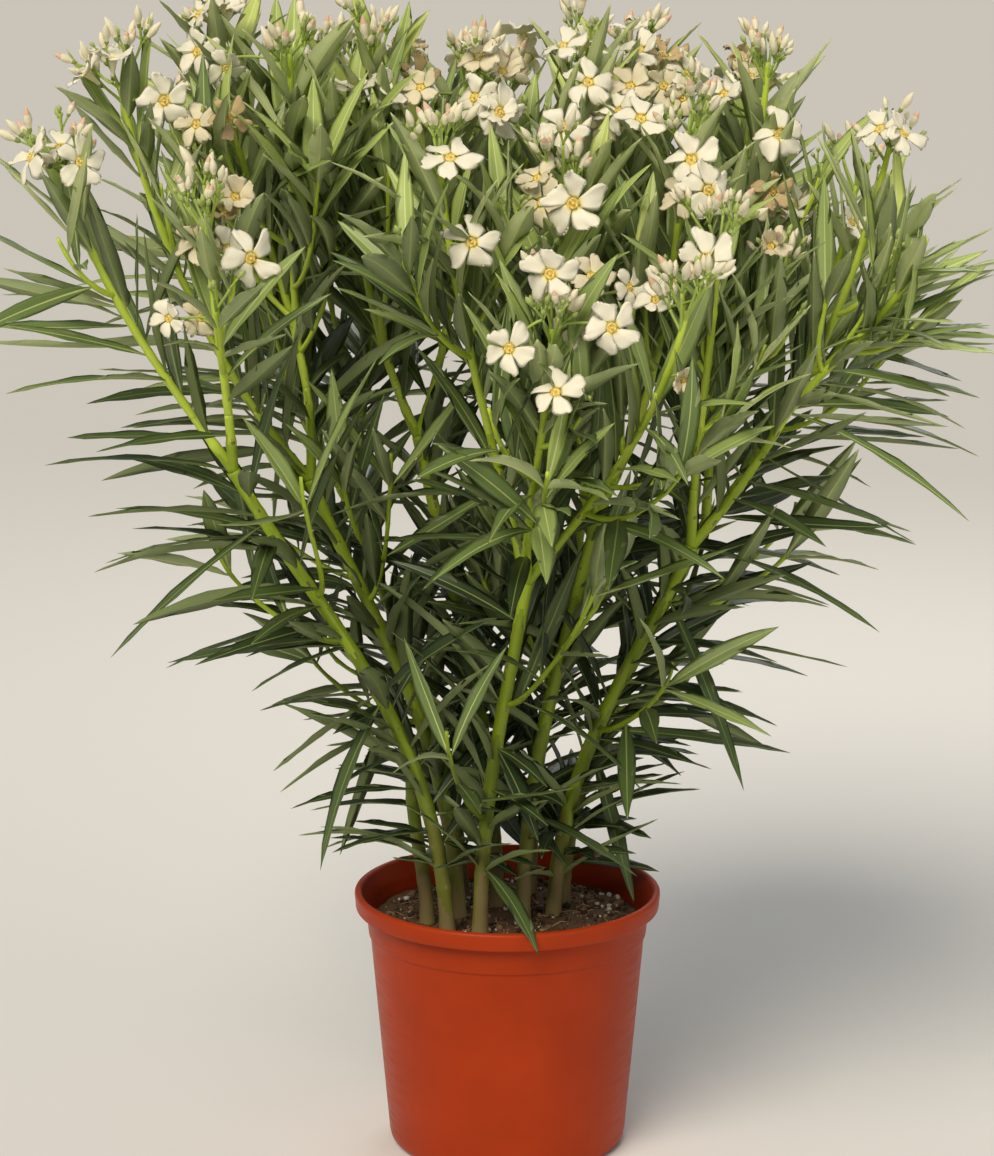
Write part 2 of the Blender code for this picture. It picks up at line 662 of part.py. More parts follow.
def flowers_on(name, path, stop, count, rng, pieces, taken):
    """A branched cluster at a shoot's end: stalks to the open flowers, and buds between them."""
    root = part_of(path, stop - 0.008, stop - 0.008, 1)[0]
    t = tangent(path, stop - 0.010)
    a, b = cross_axes(t)
    outward = unit(np.array((root[0], root[1], 0.0)) + 1e-6)
    turn = rng.uniform(0.0, math.tau)
    made = 0
    spots = []
    for k in range(count + 22):
        if made == count:
            break
        phi = turn + k * 2.4
        spread = math.radians(rng.uniform(24.0, 62.0))
        aim = unit(t * math.cos(spread) + (a * math.cos(phi) + b * math.sin(phi)) * math.sin(spread)
                   + outward * 0.25)
        reach = rng.uniform(0.048, 0.066)
        facing = unit(aim + outward * 0.6 + UP * 0.1)
        mouth = root + aim * reach
        ring = np.array([mouth + PETAL_REACH * (p * math.cos(q) + r * math.sin(q))
                         for p, r in (cross_axes(facing),) for q in np.linspace(0, math.tau, 12)])
        if any(np.linalg.norm(mouth - q) < 0.040 for q in spots):
            continue
        if not in_space(name, ring):
            continue
        if taken and min(np.linalg.norm(ring[:, None] - q, axis=2).min() for q in taken) < 0.003:
            continue
        spots.append(mouth)
        taken.append(ring)
        add_object("bloom", star_mesh(mouth, facing, rng.uniform(0, 1.2)), PETAL, pieces)
        back = mouth - facing * (TUBE - 0.006)
        line = np.array((root + t * (0.0018 * made - 0.002), back))
        add_object("stalk", limb_mesh(line, (TWIG, TWIG * 0.8), 3), GREEN_BARK, pieces)
        made += 1
    for k in range(2 if count else 0):
        phi = turn + 1.1 + k * 2.9
        aim = unit(t * 0.9 + (a * math.cos(phi) + b * math.sin(phi)) * 0.45)
        foot = root + t * (0.0012 - 0.0040 * k)
        tip = root + aim * (0.040 + BUD)
        side, up = cross_axes(aim)
        waist = foot + aim * (0.040 + BUD * 0.3)
        if not in_space(name, np.array((waist, tip))):
            continue
        if any(np.linalg.norm(waist - q) < 0.020 for q in spots):
            continue
        add_object("bud", blade_mesh(foot, waist, tip, side, up, 0.0065, 0.0065), BUD_SKIN, pieces)
    return made


tally = [0, 0]
for turn_no, (name, shoots) in enumerate(stems.items()):
    rng = random.Random(SEED * 100 + turn_no)
    pieces = bpy.data.collections.new("pieces")
    scene_root.children.link(pieces)
    taken = []
    body = None
    side_shoot = name.startswith("side_")
    for k, (spine, stop, flowers, first) in enumerate(shoots):
        thick = np.linspace(STEM_FOOT * (1.0 if k == 0 else 0.8), STEM_HEAD, 5)
        if side_shoot:
            thick = np.linspace(0.0030, 0.0019, 5)
        bm = limb_mesh(spine[:5], thick, 3, first)
        if body is None:
            title = name if side_shoot else "mass_" + name
            body = add_object(title, bm, GREEN_BARK, plant)
        else:
            add_object("stem", bm, GREEN_BARK, pieces)
    for spine, stop, flowers, first in shoots:
        if flowers > 0:
            tally[1] += flowers_on(name, spine, stop, flowers, rng, pieces, taken)
    for spine, stop, flowers, first in shoots:
        tally[0] += leaves_on(name, spine, 0.004, stop - 0.004, rng, pieces, taken, side_shoot)
    fuse(body, pieces)
print("leaves", tally[0], "flowers", tally[1])
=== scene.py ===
import math
import random

import bpy
import numpy as np
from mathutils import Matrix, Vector, noise


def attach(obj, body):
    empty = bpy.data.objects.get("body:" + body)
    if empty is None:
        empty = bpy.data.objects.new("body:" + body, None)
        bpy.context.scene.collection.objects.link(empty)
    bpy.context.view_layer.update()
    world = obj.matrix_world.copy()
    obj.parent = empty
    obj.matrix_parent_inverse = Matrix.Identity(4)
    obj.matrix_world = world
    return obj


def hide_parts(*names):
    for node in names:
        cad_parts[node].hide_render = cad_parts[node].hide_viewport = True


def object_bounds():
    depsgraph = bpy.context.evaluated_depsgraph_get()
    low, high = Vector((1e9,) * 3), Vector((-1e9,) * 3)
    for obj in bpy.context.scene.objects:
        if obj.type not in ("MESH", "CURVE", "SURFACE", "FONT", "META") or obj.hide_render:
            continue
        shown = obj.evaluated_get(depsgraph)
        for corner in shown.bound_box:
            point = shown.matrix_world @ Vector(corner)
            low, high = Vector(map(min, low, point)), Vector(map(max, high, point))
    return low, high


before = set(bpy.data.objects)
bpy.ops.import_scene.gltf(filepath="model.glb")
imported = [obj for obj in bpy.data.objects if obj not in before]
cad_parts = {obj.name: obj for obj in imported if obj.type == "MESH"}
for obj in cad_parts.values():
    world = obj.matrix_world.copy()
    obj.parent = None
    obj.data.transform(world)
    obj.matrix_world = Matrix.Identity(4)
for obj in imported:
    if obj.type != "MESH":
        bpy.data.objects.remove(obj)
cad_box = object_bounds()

# ------------------------------------------------------------------------------------ pot
# A grower's pot of polypropylene, 24 cm across the rim, injection-moulded in a terracotta
# colour: a stiff lip, a plain collar, a step for nesting, a body that tapers to a round foot,
# and six drain holes.  The mould leaves a satin skin with a broad, soft highlight.
POT_HEIGHT = 0.205
RIM_RADIUS = 0.120
LIP_DEPTH = 0.014
COLLAR_DEPTH = 0.022
COLLAR_TOP = 0.1112
COLLAR_FOOT = 0.1088
BODY_TOP = 0.1075
BODY_FOOT = 0.0932
WALL = 0.0017
FLOOR = 0.0022
CORNER = 0.010
FLAT_RADIUS = 0.078         # the floor is flat to here, outside the drain holes
DRAIN_HOLES = 6
DRAIN_RADIUS = 0.0055
DRAIN_CIRCLE = 0.066        # from the pot's axis to the middle of a hole
DRILL_FOOT, DRILL_HEAD = -0.004, 0.006
DRILL_SEGMENTS = 20
POT_SEGMENTS = 144
ARC_POINTS = 5              # in each rounded corner of the pot's profile


def linear(code):
    """A colour from its sRGB hex to linear values."""
    parts = [int(code[k:k + 2], 16) / 255 for k in (0, 2, 4)]
    return [c / 12.92 if c <= 0.04045 else ((c + 0.055) / 1.055) ** 2.4 for c in parts] + [1.0]


def start_finish(name, colour, roughness, ior):
    """A material with one Principled shader, whose steady values sit on the shader itself."""
    made = bpy.data.materials.new(name)
    made.use_nodes = True
    shader = made.node_tree.nodes["Principled BSDF"]
    shader.inputs["Base Color"].default_value = linear(colour)
    shader.inputs["Roughness"].default_value = roughness
    shader.inputs["IOR"].default_value = ior
    made.diffuse_color = linear(colour)
    return made, made.node_tree, shader


def add_node(tree, kind, settings, inputs=(), feeds=()):
    """One node: `inputs` are (its input, other node, output), `feeds` (output, other, input)."""
    node = tree.nodes.new(kind)
    for key, value in settings.items():
        if key == "ramp":
            stops = node.color_ramp.elements
            for k, (at, colour) in enumerate(value):
                stop = stops[k] if k < 2 else stops.new(at)
                stop.position = at
                stop.color = linear(colour)
        elif key in node.inputs:
            node.inputs[key].default_value = value
        else:
            setattr(node, key, value)
    for own, other, theirs in inputs:
        tree.links.new(other.outputs[theirs], node.inputs[own])
    for own, other, theirs in feeds:
        tree.links.new(node.outputs[own], other.inputs[theirs])
    return node


def grained(tree, shader, spacing, detail, strength, depth, drawn=None):
    """Raises a grain on a finish: its spacing and depth (m), and its scale by axis if drawn out."""
    place, output = add_node(tree, "ShaderNodeTexCoord", {}), "Object"
    if drawn:
        place = add_node(tree, "ShaderNodeMapping", {"Scale": drawn}, [("Vector", place, output)])
        output = "Vector"
    grain = add_node(tree, "ShaderNodeTexNoise", {"Scale": 1 / spacing, "Detail": detail},
                     [("Vector", place, output)])
    add_node(tree, "ShaderNodeBump", {"Strength": strength, "Distance": depth},
             [("Height", grain, "Fac")], [("Normal", shader, "Normal")])


def unit(v):
    v = np.asarray(v, float)
    return v / np.linalg.norm(v)


def ring_quads(rings, sides):
    """Faces between neighbouring rings of points."""
    k, i = np.meshgrid(np.arange(rings - 1), np.arange(sides), indexing="ij")
    j = (i + 1) % sides
    return np.stack((k * sides + i, k * sides + j, (k + 1) * sides + j, (k + 1) * sides + i),
                    axis=2).reshape(-1, 4)


def end_fans(rings, sides):
    """Faces from the first and the last ring to two end points, which are listed after them."""
    i = np.arange(sides)
    j = (i + 1) % sides
    foot, head = rings * sides, rings * sides + 1
    last = foot - sides
    return np.vstack((np.stack((np.full(sides, foot), j, i), 1),
                      np.stack((np.full(sides, head), last + i, last + j), 1)))


def turned(profile, sides):
    """A profile of (radius, height), listed from its lower end on the axis, swept round Z."""
    profile = np.asarray(profile, float)
    turn = np.linspace(0.0, math.tau, sides, endpoint=False)
    r, z = profile[1:-1].T
    rings = np.stack((np.outer(r, np.cos(turn)), np.outer(r, np.sin(turn)),
                      np.repeat(z[:, None], sides, 1)), axis=2).reshape(-1, 3)
    ends = [(0.0, 0.0, profile[0, 1]), (0.0, 0.0, profile[-1, 1])]
    return np.vstack((rings, ends)), ring_quads(len(r), sides), end_fans(len(r), sides)


def in_scene(name, data):
    """A new object of this mesh, lamp or camera, put in the scene."""
    made = bpy.data.objects.new(name, data)
    bpy.context.scene.collection.objects.link(made)
    return made


def joined(name, parts, finishes):
    """One smooth mesh object from parts of (points, ((faces, finish number or numbers), ...))."""
    points, corners, sizes, skins = [], [], [], []
    base = 0
    for spots, groups in parts:
        points.append(spots)
        for faces, skin in groups:
            corners.append((np.asarray(faces) + base).ravel())
            sizes.append(np.full(len(faces), faces.shape[1]))
            skins.append(np.broadcast_to(skin, len(faces)))
        base += len(spots)
    points, corners = np.concatenate(points), np.concatenate(corners)
    sizes, skins = np.concatenate(sizes), np.concatenate(skins)
    mesh = bpy.data.meshes.new(name)
    mesh.vertices.add(len(points))
    mesh.vertices.foreach_set("co", points.astype(np.float32).ravel())
    mesh.loops.add(len(corners))
    mesh.loops.foreach_set("vertex_index", corners.astype(np.int32))
    mesh.polygons.add(len(sizes))
    mesh.polygons.foreach_set("loop_start", (np.cumsum(sizes) - sizes).astype(np.int32))
    mesh.polygons.foreach_set("material_index", skins.astype(np.int32))
    mesh.polygons.foreach_set("use_smooth", np.ones(len(sizes), bool))
    for finish in finishes:
        mesh.materials.append(finish)
    mesh.update(calc_edges=True)
    return in_scene(name, mesh)


def fit(piece, slot, *nodes):
    """Fixes a piece in the plant: its body and the solids it stands for, which it hides; `slot` is not
    used.
    """
    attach(piece, "root")
    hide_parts(*nodes)


def rounded(corners):
    """A profile of (radius, height, fillet) with each filleted corner drawn as a short arc."""
    out = []
    for k, (r, z, fillet) in enumerate(corners):
        here = np.array((r, z))
        if not fillet:
            out.append(here)
            continue
        back = here + unit(np.array(corners[k - 1][:2]) - here) * fillet
        on = here + unit(np.array(corners[k + 1][:2]) - here) * fillet
        for t in np.linspace(0.0, 1.0, ARC_POINTS):
            out.append((1 - t) ** 2 * back + 2 * t * (1 - t) * here + t * t * on)
    return out


lip_foot = POT_HEIGHT - LIP_DEPTH
step_top = lip_foot - COLLAR_DEPTH
pot_profile = rounded((
    (0.0, 0.0, 0), (FLAT_RADIUS, 0.0, 0), (BODY_FOOT - 0.0006, 0.0, 0.0090),
    (BODY_TOP, step_top - 0.0006, 0.0006), (COLLAR_FOOT, step_top + 0.0006, 0.0006),
    (COLLAR_TOP, lip_foot - 0.0008, 0.0008), (RIM_RADIUS - 0.0012, lip_foot - 0.0002, 0.0016),
    (RIM_RADIUS, POT_HEIGHT - 0.0005, 0.0030), (RIM_RADIUS - 0.0042, POT_HEIGHT, 0.0008),
    (RIM_RADIUS - 0.0058, POT_HEIGHT - 0.0014, 0.0010), (COLLAR_TOP - WALL, lip_foot - 0.0006, 0.003),
    (COLLAR_FOOT - WALL, step_top + 0.0014, 0.0006), (BODY_TOP - WALL, step_top - 0.0012, 0.0006),
    (BODY_FOOT - WALL, CORNER + 0.002, 0.004), (BODY_FOOT - WALL - 0.0050, FLOOR, 0.002),
    (FLAT_RADIUS, FLOOR, 0), (0.0, FLOOR, 0)))
spots, walls, caps = turned(pot_profile, POT_SEGMENTS)

pot_skin, tree, shader = start_finish("moulded_polypropylene", "a2340c", 0.45, 1.49)
shader.inputs["Specular IOR Level"].default_value = 0.15
place = add_node(tree, "ShaderNodeTexCoord", {})
# slow cloudiness of the melt, about 60 mm across
cloud = add_node(tree, "ShaderNodeTexNoise", {"Scale": 1 / 0.060, "Detail": 2.0},
                 [("Vector", place, "Object")])
add_node(tree, "ShaderNodeValToRGB", {"ramp": ((0.30, "9b310b"), (0.72, "a8370d"))},
         [("Fac", cloud, "Fac")], [("Color", shader, "Base Color")])
# handling marks: short rubs about 3 mm high and 30 mm long round the wall
rub_place = add_node(tree, "ShaderNodeMapping", {"Scale": (1.0, 1.0, 9.0)},
                     [("Vector", place, "Object")])
rubs = add_node(tree, "ShaderNodeTexNoise", {"Scale": 1 / 0.030, "Detail": 4.0},
                [("Vector", rub_place, "Vector")])
add_node(tree, "ShaderNodeMapRange", {"From Min": 0.35, "From Max": 0.75, "To Min": 0.36,
                                      "To Max": 0.50},
         [("Value", rubs, "Fac")], [("Result", shader, "Roughness")])
# the mould's spark-eroded grit is 0.2 mm; drawn at 0.9 mm so that it shows
grained(tree, shader, 0.0009, 2.0, 0.10, 0.0002)

blank = joined("pot_blank", [(spots, ((walls, 0), (caps, 0)))], [pot_skin])
drills = []
for k in range(DRAIN_HOLES):
    a = math.tau * (k + 0.5) / DRAIN_HOLES
    hole = ((0.0, DRILL_FOOT), (DRAIN_RADIUS, DRILL_FOOT), (DRAIN_RADIUS, DRILL_HEAD),
            (0.0, DRILL_HEAD))
    spots, walls, caps = turned(hole, DRILL_SEGMENTS)
    spots += (DRAIN_CIRCLE * math.cos(a), DRAIN_CIRCLE * math.sin(a), 0.0)
    drills.append((spots, ((walls, 0), (caps, 0))))
cutter = joined("drain_cutter", drills, [pot_skin])
drain = blank.modifiers.new("drain", "BOOLEAN")
drain.operation = "DIFFERENCE"
drain.object = cutter
drain.solver = "EXACT"
graph = bpy.context.evaluated_depsgraph_get()
mesh = bpy.data.meshes.new_from_object(blank.evaluated_get(graph))
mesh.name = "pot_shell"
pot_shell = in_scene("pot_shell", mesh)
bpy.data.objects.remove(blank)
bpy.data.objects.remove(cutter)
fit(pot_shell, "pot_plastic", "pot")

# -------------------------------------------------------------------------------- compost
# Peat-based potting compost, pressed in by hand to a finger's breadth under the rim and a
# little heaped at the right.  Its top is dry and crumbly, with coir fibres and grains of
# expanded perlite, and it fills the pot to the floor, where the drain holes show it.
COMPOST_TOP = 0.1820
GAP = 0.0003
LOOSE = 0.0012              # loose crumbs above the pressed compost
HEAP = (0.052, -0.030)
HEAP_HEIGHT, HEAP_SPREAD = 0.0050, 0.034
LUMP_HEIGHT, LUMP_SCALE = 0.0022, 55.0
CRUMB_HEIGHT, CRUMB_SCALE = 0.0010, 190.0
SINK, SINK_RADIUS = 0.0034, 0.105       # how much lower the top lies near the wall
CRUMBS = 1500
CRUMB_REACH = 0.101         # no crumb lies further from the middle
CRUMB_LEAST, CRUMB_MORE = 0.0007, 0.0025
SOIL_MIX = (0.34, 0.26, 0.30, 0.02, 0.08)       # share of each of the soils below
COIR = 3
FIBRES = 120
FIBRE_REACH = 0.096
FIBRE_RADIUS = 0.00032
FIBRE_RUN = (0.007, 0.026)  # shortest and longest
FIBRE_BEND = 1.6            # most that a fibre turns along its way (rad)
FIBRE_TAPER = np.array((0.3, 1, 1, 1, 1, 0.8, 0.3))
FIBRE_STEPS = len(FIBRE_TAPER) - 1


def compost_level(x, y):
    """Height of the compost's loose top."""
    r = math.hypot(x, y)
    heap = HEAP_HEIGHT * math.exp(-((x - HEAP[0]) ** 2 + (y - HEAP[1]) ** 2) / HEAP_SPREAD ** 2)
    lumps = LUMP_HEIGHT * noise.noise(Vector((x, y, 0.3)) * LUMP_SCALE)
    crumb = CRUMB_HEIGHT * noise.noise(Vector((x, y, 2.7)) * CRUMB_SCALE)
    return COMPOST_TOP + LOOSE + heap + lumps + crumb - SINK * (r / SINK_RADIUS) ** 4


def cross_axes(t):
    """Two directions square to t."""
    side = unit(np.cross(t, (0.31, 0.94, 0.12) if abs(t[2]) > 0.9 else (0.0, 0.0, 1.0)))
    return side, np.cross(t, side)


def limb(path, radii, sides):
    """A closed tube round a path.  `radii` has one number a station, or one for each side."""
    path = np.asarray(path, float)
    along = np.gradient(path, axis=0)
    along /= np.linalg.norm(along, axis=1)[:, None]
    steady = cross_axes(unit(path[-1] - path[0]))[0]
    side = steady - along * (along @ steady)[:, None]
    side /= np.linalg.norm(side, axis=1)[:, None]
    other = np.cross(along, side)
    turn = np.linspace(0.0, math.tau, sides, endpoint=False)
    radii = np.broadcast_to(np.reshape(radii, (len(path), -1)), (len(path), sides))
    rings = path[:, None] + radii[..., None] * (side[:, None] * np.cos(turn)[:, None]
                                                + other[:, None] * np.sin(turn)[:, None])
    spots = np.vstack((rings.reshape(-1, 3), path[:1], path[-1:]))
    return spots, ring_quads(len(path), sides), end_fans(len(path), sides)


def earth(name, colour, roughness):
    """Compost, fibre or perlite: dull and grainy at about 1 mm."""
    made, tree, shader = start_finish(name, colour, roughness, 1.45)
    shader.inputs["Specular IOR Level"].default_value = 0.25
    grained(tree, shader, 0.0012, 3.0, 0.5, 0.0005)
    return made


soils = [earth("dry_peat", "5a4432", 0.95), earth("damp_peat", "3a2b20", 0.85),
         earth("bark_fines", "7a5f46", 0.90), earth("coir_fibre", "a58a63", 0.80),
         earth("expanded_perlite", "cfc8ba", 0.85)]
top_radius = COLLAR_FOOT - WALL - GAP - 0.0004
fill = [(0.0, FLOOR + GAP), (BODY_FOOT - WALL - 0.0056, FLOOR + GAP),
        (BODY_FOOT - WALL - GAP - 0.0002, CORNER + 0.0020),
        (BODY_TOP - WALL - GAP - 0.0002, step_top - 0.0016), (top_radius, COMPOST_TOP - 0.0040)]
fill += [(top_radius * f, COMPOST_TOP) for f in np.linspace(0.985, 0.02, 44)] + [(0.0, COMPOST_TOP)]
spots, walls, caps = turned(fill, 120)
for p in spots:
    if p[2] > COMPOST_TOP - 0.0045:
        p[2] = compost_level(p[0], p[1])
compost_fill = joined("compost_fill", [(spots, ((walls, 0), (caps, 0)))], soils[:1])
fit(compost_fill, "compost", "compost")

rng = np.random.default_rng(41)
PHI = (1 + 5 ** 0.5) / 2
ball = np.array([(-1, PHI, 0), (1, PHI, 0), (-1, -PHI, 0), (1, -PHI, 0), (0, -1, PHI), (0, 1, PHI),
                 (0, -1, -PHI), (0, 1, -PHI), (PHI, 0, -1), (PHI, 0, 1), (-PHI, 0, -1), (-PHI, 0, 1)])
ball /= np.linalg.norm(ball[0])
ball_faces = np.array([(0, 11, 5), (0, 5, 1), (0, 1, 7), (0, 7, 10), (0, 10, 11), (1, 5, 9),
                       (5, 11, 4), (11, 10, 2), (10, 7, 6), (7, 1, 8), (3, 9, 4), (3, 4, 2),
                       (3, 2, 6), (3, 6, 8), (3, 8, 9), (4, 9, 5), (2, 4, 11), (6, 2, 10),
                       (8, 6, 7), (9, 8, 1)])


def scattered(reach):
    """A random place (x, y) on the compost, no further out than `reach`."""
    r, a = reach * math.sqrt(rng.random()), rng.random() * math.tau
    return r * math.cos(a), r * math.sin(a)


litter = []
for _ in range(CRUMBS):
    x, y = scattered(CRUMB_REACH)
    size = CRUMB_LEAST + CRUMB_MORE * rng.random() ** 3
    kind = rng.choice(len(soils), p=SOIL_MIX)
    shape = ball * rng.uniform(0.7, 1.25, (12, 1)) * size * rng.uniform(0.6, 1.3, 3)
    litter.append((shape + (x, y, compost_level(x, y) + 0.25 * size), ((ball_faces, kind),)))
for _ in range(FIBRES):
    x, y = scattered(FIBRE_REACH)
    heading, bend = rng.random() * math.tau, rng.uniform(-FIBRE_BEND, FIBRE_BEND)
    step = rng.uniform(*FIBRE_RUN) / FIBRE_STEPS
    line = []
    for t in np.linspace(0.0, 1.0, FIBRE_STEPS + 1):
        rise = 0.0005 + 0.0016 * rng.random() * math.sin(math.pi * t)
        line.append((x, y, compost_level(x, y) + rise))
        heading += bend / FIBRE_STEPS
        x, y = x + step * math.cos(heading), y + step * math.sin(heading)
        if math.hypot(x, y) > CRUMB_REACH + 0.001:
            heading += math.pi / 2
    spots, walls, caps = limb(line, FIBRE_TAPER * FIBRE_RADIUS, 4)
    litter.append((spots, ((walls, COIR), (caps, COIR))))
compost_litter = joined("compost_litter", litter, soils)
fit(compost_litter, "compost", "compost")

# ----------------------------------------------------------------------- canes and boughs
# The oleander's own stems: nine canes rise from the compost, thinly leaved, and fork into
# boughs of the same green bark.  The foot is browner and older; joints show as swollen rings
# with three corky leaf scars, and the bark has faint ridges and breathing pores.  Low down the
# bark is also painted darker, as painted shade under the crown.
CANE_FOOT = 0.0058
CANE_HEAD = 0.0044
FLARE, FLARE_HEIGHT = 1.22, 0.009       # how much wider a cane's foot is, and how far up
COLLAR, COLLAR_HEIGHT = 0.0006, 0.007   # swelling of a cane under its fork
ARM = 0.016                 # length of a fork's arm
ARM_ANGLE = math.radians(40.0)          # least angle between a fork's arms
FAN_ROUNDS, FAN_PUSH = 60, 0.06
BOUGH_FOOT = 0.0038
BOUGH_HEAD = 0.0031
UP = np.array((0.0, 0.0, 1.0))
GROUND = COMPOST_TOP + GAP
PATH_POINTS = 160
CANE_SIDES = 18
BOUGH_SIDES = 16
RING_STEP = 0.0024
JOINT_STEP = 0.034          # distance between a cane's old leaf joints
JOINT_SWELL, JOINT_HALF = 0.00028, 0.0036       # swollen ring of a joint
SCAR_RISE, SCAR_HALF = 0.00050, 0.0024          # leaf scar, just above the joint
SCAR_ABOVE, SCAR_TURN = 0.0020, 0.40
PORE_RISE, PORE_FOOT = 0.00028, 0.00016

# name, foot (x, y) on the compost, fork (x, y, z)
CANES = (
    ("left_front", (-0.046, -0.048), (-0.200, -0.112, 0.556)),
    ("left_mid", (-0.038, -0.008), (-0.152, 0.022, 0.525)),
    ("centre_front", (-0.021, -0.054), (0.014, -0.080, 0.466)),
    ("centre_right", (0.012, -0.020), (0.068, -0.016, 0.505)),
    ("right_front", (0.036, -0.010), (0.138, -0.048, 0.487)),
    ("right_back", (0.044, 0.030), (0.158, 0.090, 0.478)),
    ("back_right", (0.018, 0.052), (0.064, 0.148, 0.490)),
    ("back_mid", (-0.008, 0.020), (-0.070, 0.078, 0.550)),
    ("back_left", (-0.036, 0.044), (-0.128, 0.160, 0.480)),
)
# an old cane, pruned off short: its foot and top, how far both ends run upright, and its joints
STUB = ((-0.062, -0.024), (-0.074, -0.024, 0.300))
STUB_PULL = 0.04
STUB_JOINTS = (0.035, 0.07, 0.10)
# mass, cane, share of the way that is bare bough, flower clusters (x, y, z, open flowers)
MASSES = (
    ("far_left", "left_front", 0.17, ((-0.318, -0.130, 0.783, 6),)),
    ("left_face", "left_front", 0.18, ((-0.210, -0.175, 0.745, 6),)),
    ("left_outer", "left_mid", 0.20, ((-0.288, -0.010, 0.828, 6),)),
    ("left_crest", "left_mid", 0.20, ((-0.222, 0.055, 0.862, 4), (-0.160, -0.030, 0.852, 4))),
    ("mid_crest", "back_mid", 0.16, ((-0.128, 0.085, 0.828, 4), (-0.100, 0.010, 0.858, 0))),
    ("mid_heart", "back_mid", 0.16, ((-0.030, 0.060, 0.826, 6),)),
    ("centre_face", "centre_front", 0.20, ((-0.050, -0.118, 0.785, 6),)),
    ("front_bouquet", "centre_front", 0.18, ((0.030, -0.205, 0.672, 8),)),
    ("front_right", "centre_front", 0.20, ((0.124, -0.190, 0.682, 2),)),
    ("centre_heart", "centre_right", 0.0, ((0.040, -0.070, 0.760, 6), (0.056, 0.050, 0.850, 6))),
    ("right_heart", "centre_right", 0.0, ((0.134, -0.020, 0.795, 6),)),
    ("right_face", "right_front", 0.18, ((0.150, -0.120, 0.718, 6), (0.198, -0.050, 0.690, 2))),
    ("far_right", "right_front", 0.26, ((0.282, -0.030, 0.786, 4), (0.300, -0.110, 0.725, 0))),
    ("right_crest", "right_back", 0.16, ((0.198, 0.055, 0.842, 6),)),
    ("right_outer", "right_back", 0.0, ((0.272, 0.095, 0.745, 4),)),
    ("back_right_crest", "right_back", 0.0, ((0.198, 0.190, 0.800, 4),)),
    ("back_crest", "back_right", 0.0, ((0.098, 0.120, 0.842, 6), (0.110, 0.225, 0.800, 4))),
    ("back_centre", "back_right", 0.0, ((-0.004, 0.215, 0.812, 6),)),
    ("back_left_crest", "back_left", 0.0, ((-0.108, 0.205, 0.818, 6),)),
    ("back_left_outer", "back_left", 0.0, ((-0.232, 0.160, 0.795, 6),)),
)


def distances_along(path):
    return np.r_[0.0, np.cumsum(np.linalg.norm(np.diff(path, axis=0), axis=1))]


def length(path):
    return float(np.linalg.norm(np.diff(path, axis=0), axis=1).sum())


def points_at(path, at):
    """The places at some distances along a path."""
    run = distances_along(path)
    return np.stack([np.interp(at, run, path[:, k]) for k in range(3)], axis=1)


def point_at(path, s):
    return points_at(path, (s,))[0]


def part_of(path, start, end, count):
    """The stretch of a path between two distances along it."""
    return points_at(path, np.linspace(start, end, count))


def bezier(p0, p1, p2, p3, count=PATH_POINTS):
    """A cubic curve as points evenly spaced along its length."""
    t = np.linspace(0.0, 1.0, 4 * count)[:, None]
    raw = (1 - t) ** 3 * p0 + 3 * (1 - t) ** 2 * t * p1 + 3 * (1 - t) * t * t * p2 + t ** 3 * p3
    return part_of(raw, 0.0, distances_along(raw)[-1], count)


def tangent(path, s):
    """The direction of a path at a distance along it."""
    a, b = part_of(path, max(0.0, s - 0.002), s + 0.002, 2)
    return unit(b - a)


def cane_path(foot, fork):
    """Upright at the foot, then leaning out towards the fork."""
    p0 = np.array((*foot, GROUND))
    p3 = np.array(fork)
    out = p3 - p0
    p1 = p0 + UP * 0.45 * out[2] + np.array((out[0], out[1], 0.0)) * 0.04
    p2 = p3 - unit(out * (1.25, 1.25, 1.0)) * 0.33 * np.linalg.norm(out)
    return bezier(p0, p1, p2, p3)


def shoot_path(start, lean, tip, rise=0.55):
    """Leaves a fork along `lean` and swings more upright towards its tip."""
    p0 = np.asarray(start, float)
    p3 = np.asarray(tip, float)
    reach = np.linalg.norm(p3 - p0)
    end = unit(unit(p3 - p0) * (1 - rise) + UP * rise)
    return bezier(p0, p0 + unit(lean) * 0.34 * reach, p3 - end * 0.34 * reach, p3)


def fan_out(headings, least):
    """Turns the first directions of a fork's arms apart until they clear each other."""
    headings = [unit(h) for h in headings]
    for _ in range(FAN_ROUNDS):
        for i in range(len(headings)):
            for j in range(i):
                if math.acos(np.clip(np.dot(headings[i], headings[j]), -1, 1)) < least:
                    push = headings[i] - headings[j]
                    headings[i] = unit(headings[i] + FAN_PUSH * unit(push))
                    headings[j] = unit(headings[j] - FAN_PUSH * unit(push))
    return headings


def bark_relief(stations, radii, joints, sides, rng):
    """Radii by station and side: ridges, swollen joints with three leaf scars, and pores."""
    turn = np.linspace(0.0, math.tau, sides, endpoint=False)
    at = stations[:, None]
    ridges = 1 + 0.024 * np.sin(3 * turn + 14 * at) + 0.014 * np.sin(7 * turn - 23 * at)
    out = radii[:, None] * ridges
    scars = np.zeros_like(out)
    for k, joint in enumerate(joints):
        out += JOINT_SWELL * np.exp(-((at - joint) / JOINT_HALF) ** 2)
        for j in range(3):
            off = (turn - (k % 2) * math.tau / 6 - j * math.tau / 3 + math.pi) % math.tau - math.pi
            scar = np.exp(-((at - joint - SCAR_ABOVE) / SCAR_HALF) ** 2)
            scar = scar * np.exp(-(off / SCAR_TURN) ** 2)
            out += SCAR_RISE * scar
            scars = np.maximum(scars, scar)
    for _ in range(int(len(stations) * 1.1)):
        k, i = rng.randrange(1, len(stations) - 1), rng.randrange(sides)
        out[k, i] += PORE_RISE
        out[k + 1, i] += PORE_FOOT
    return out, scars > 0.62


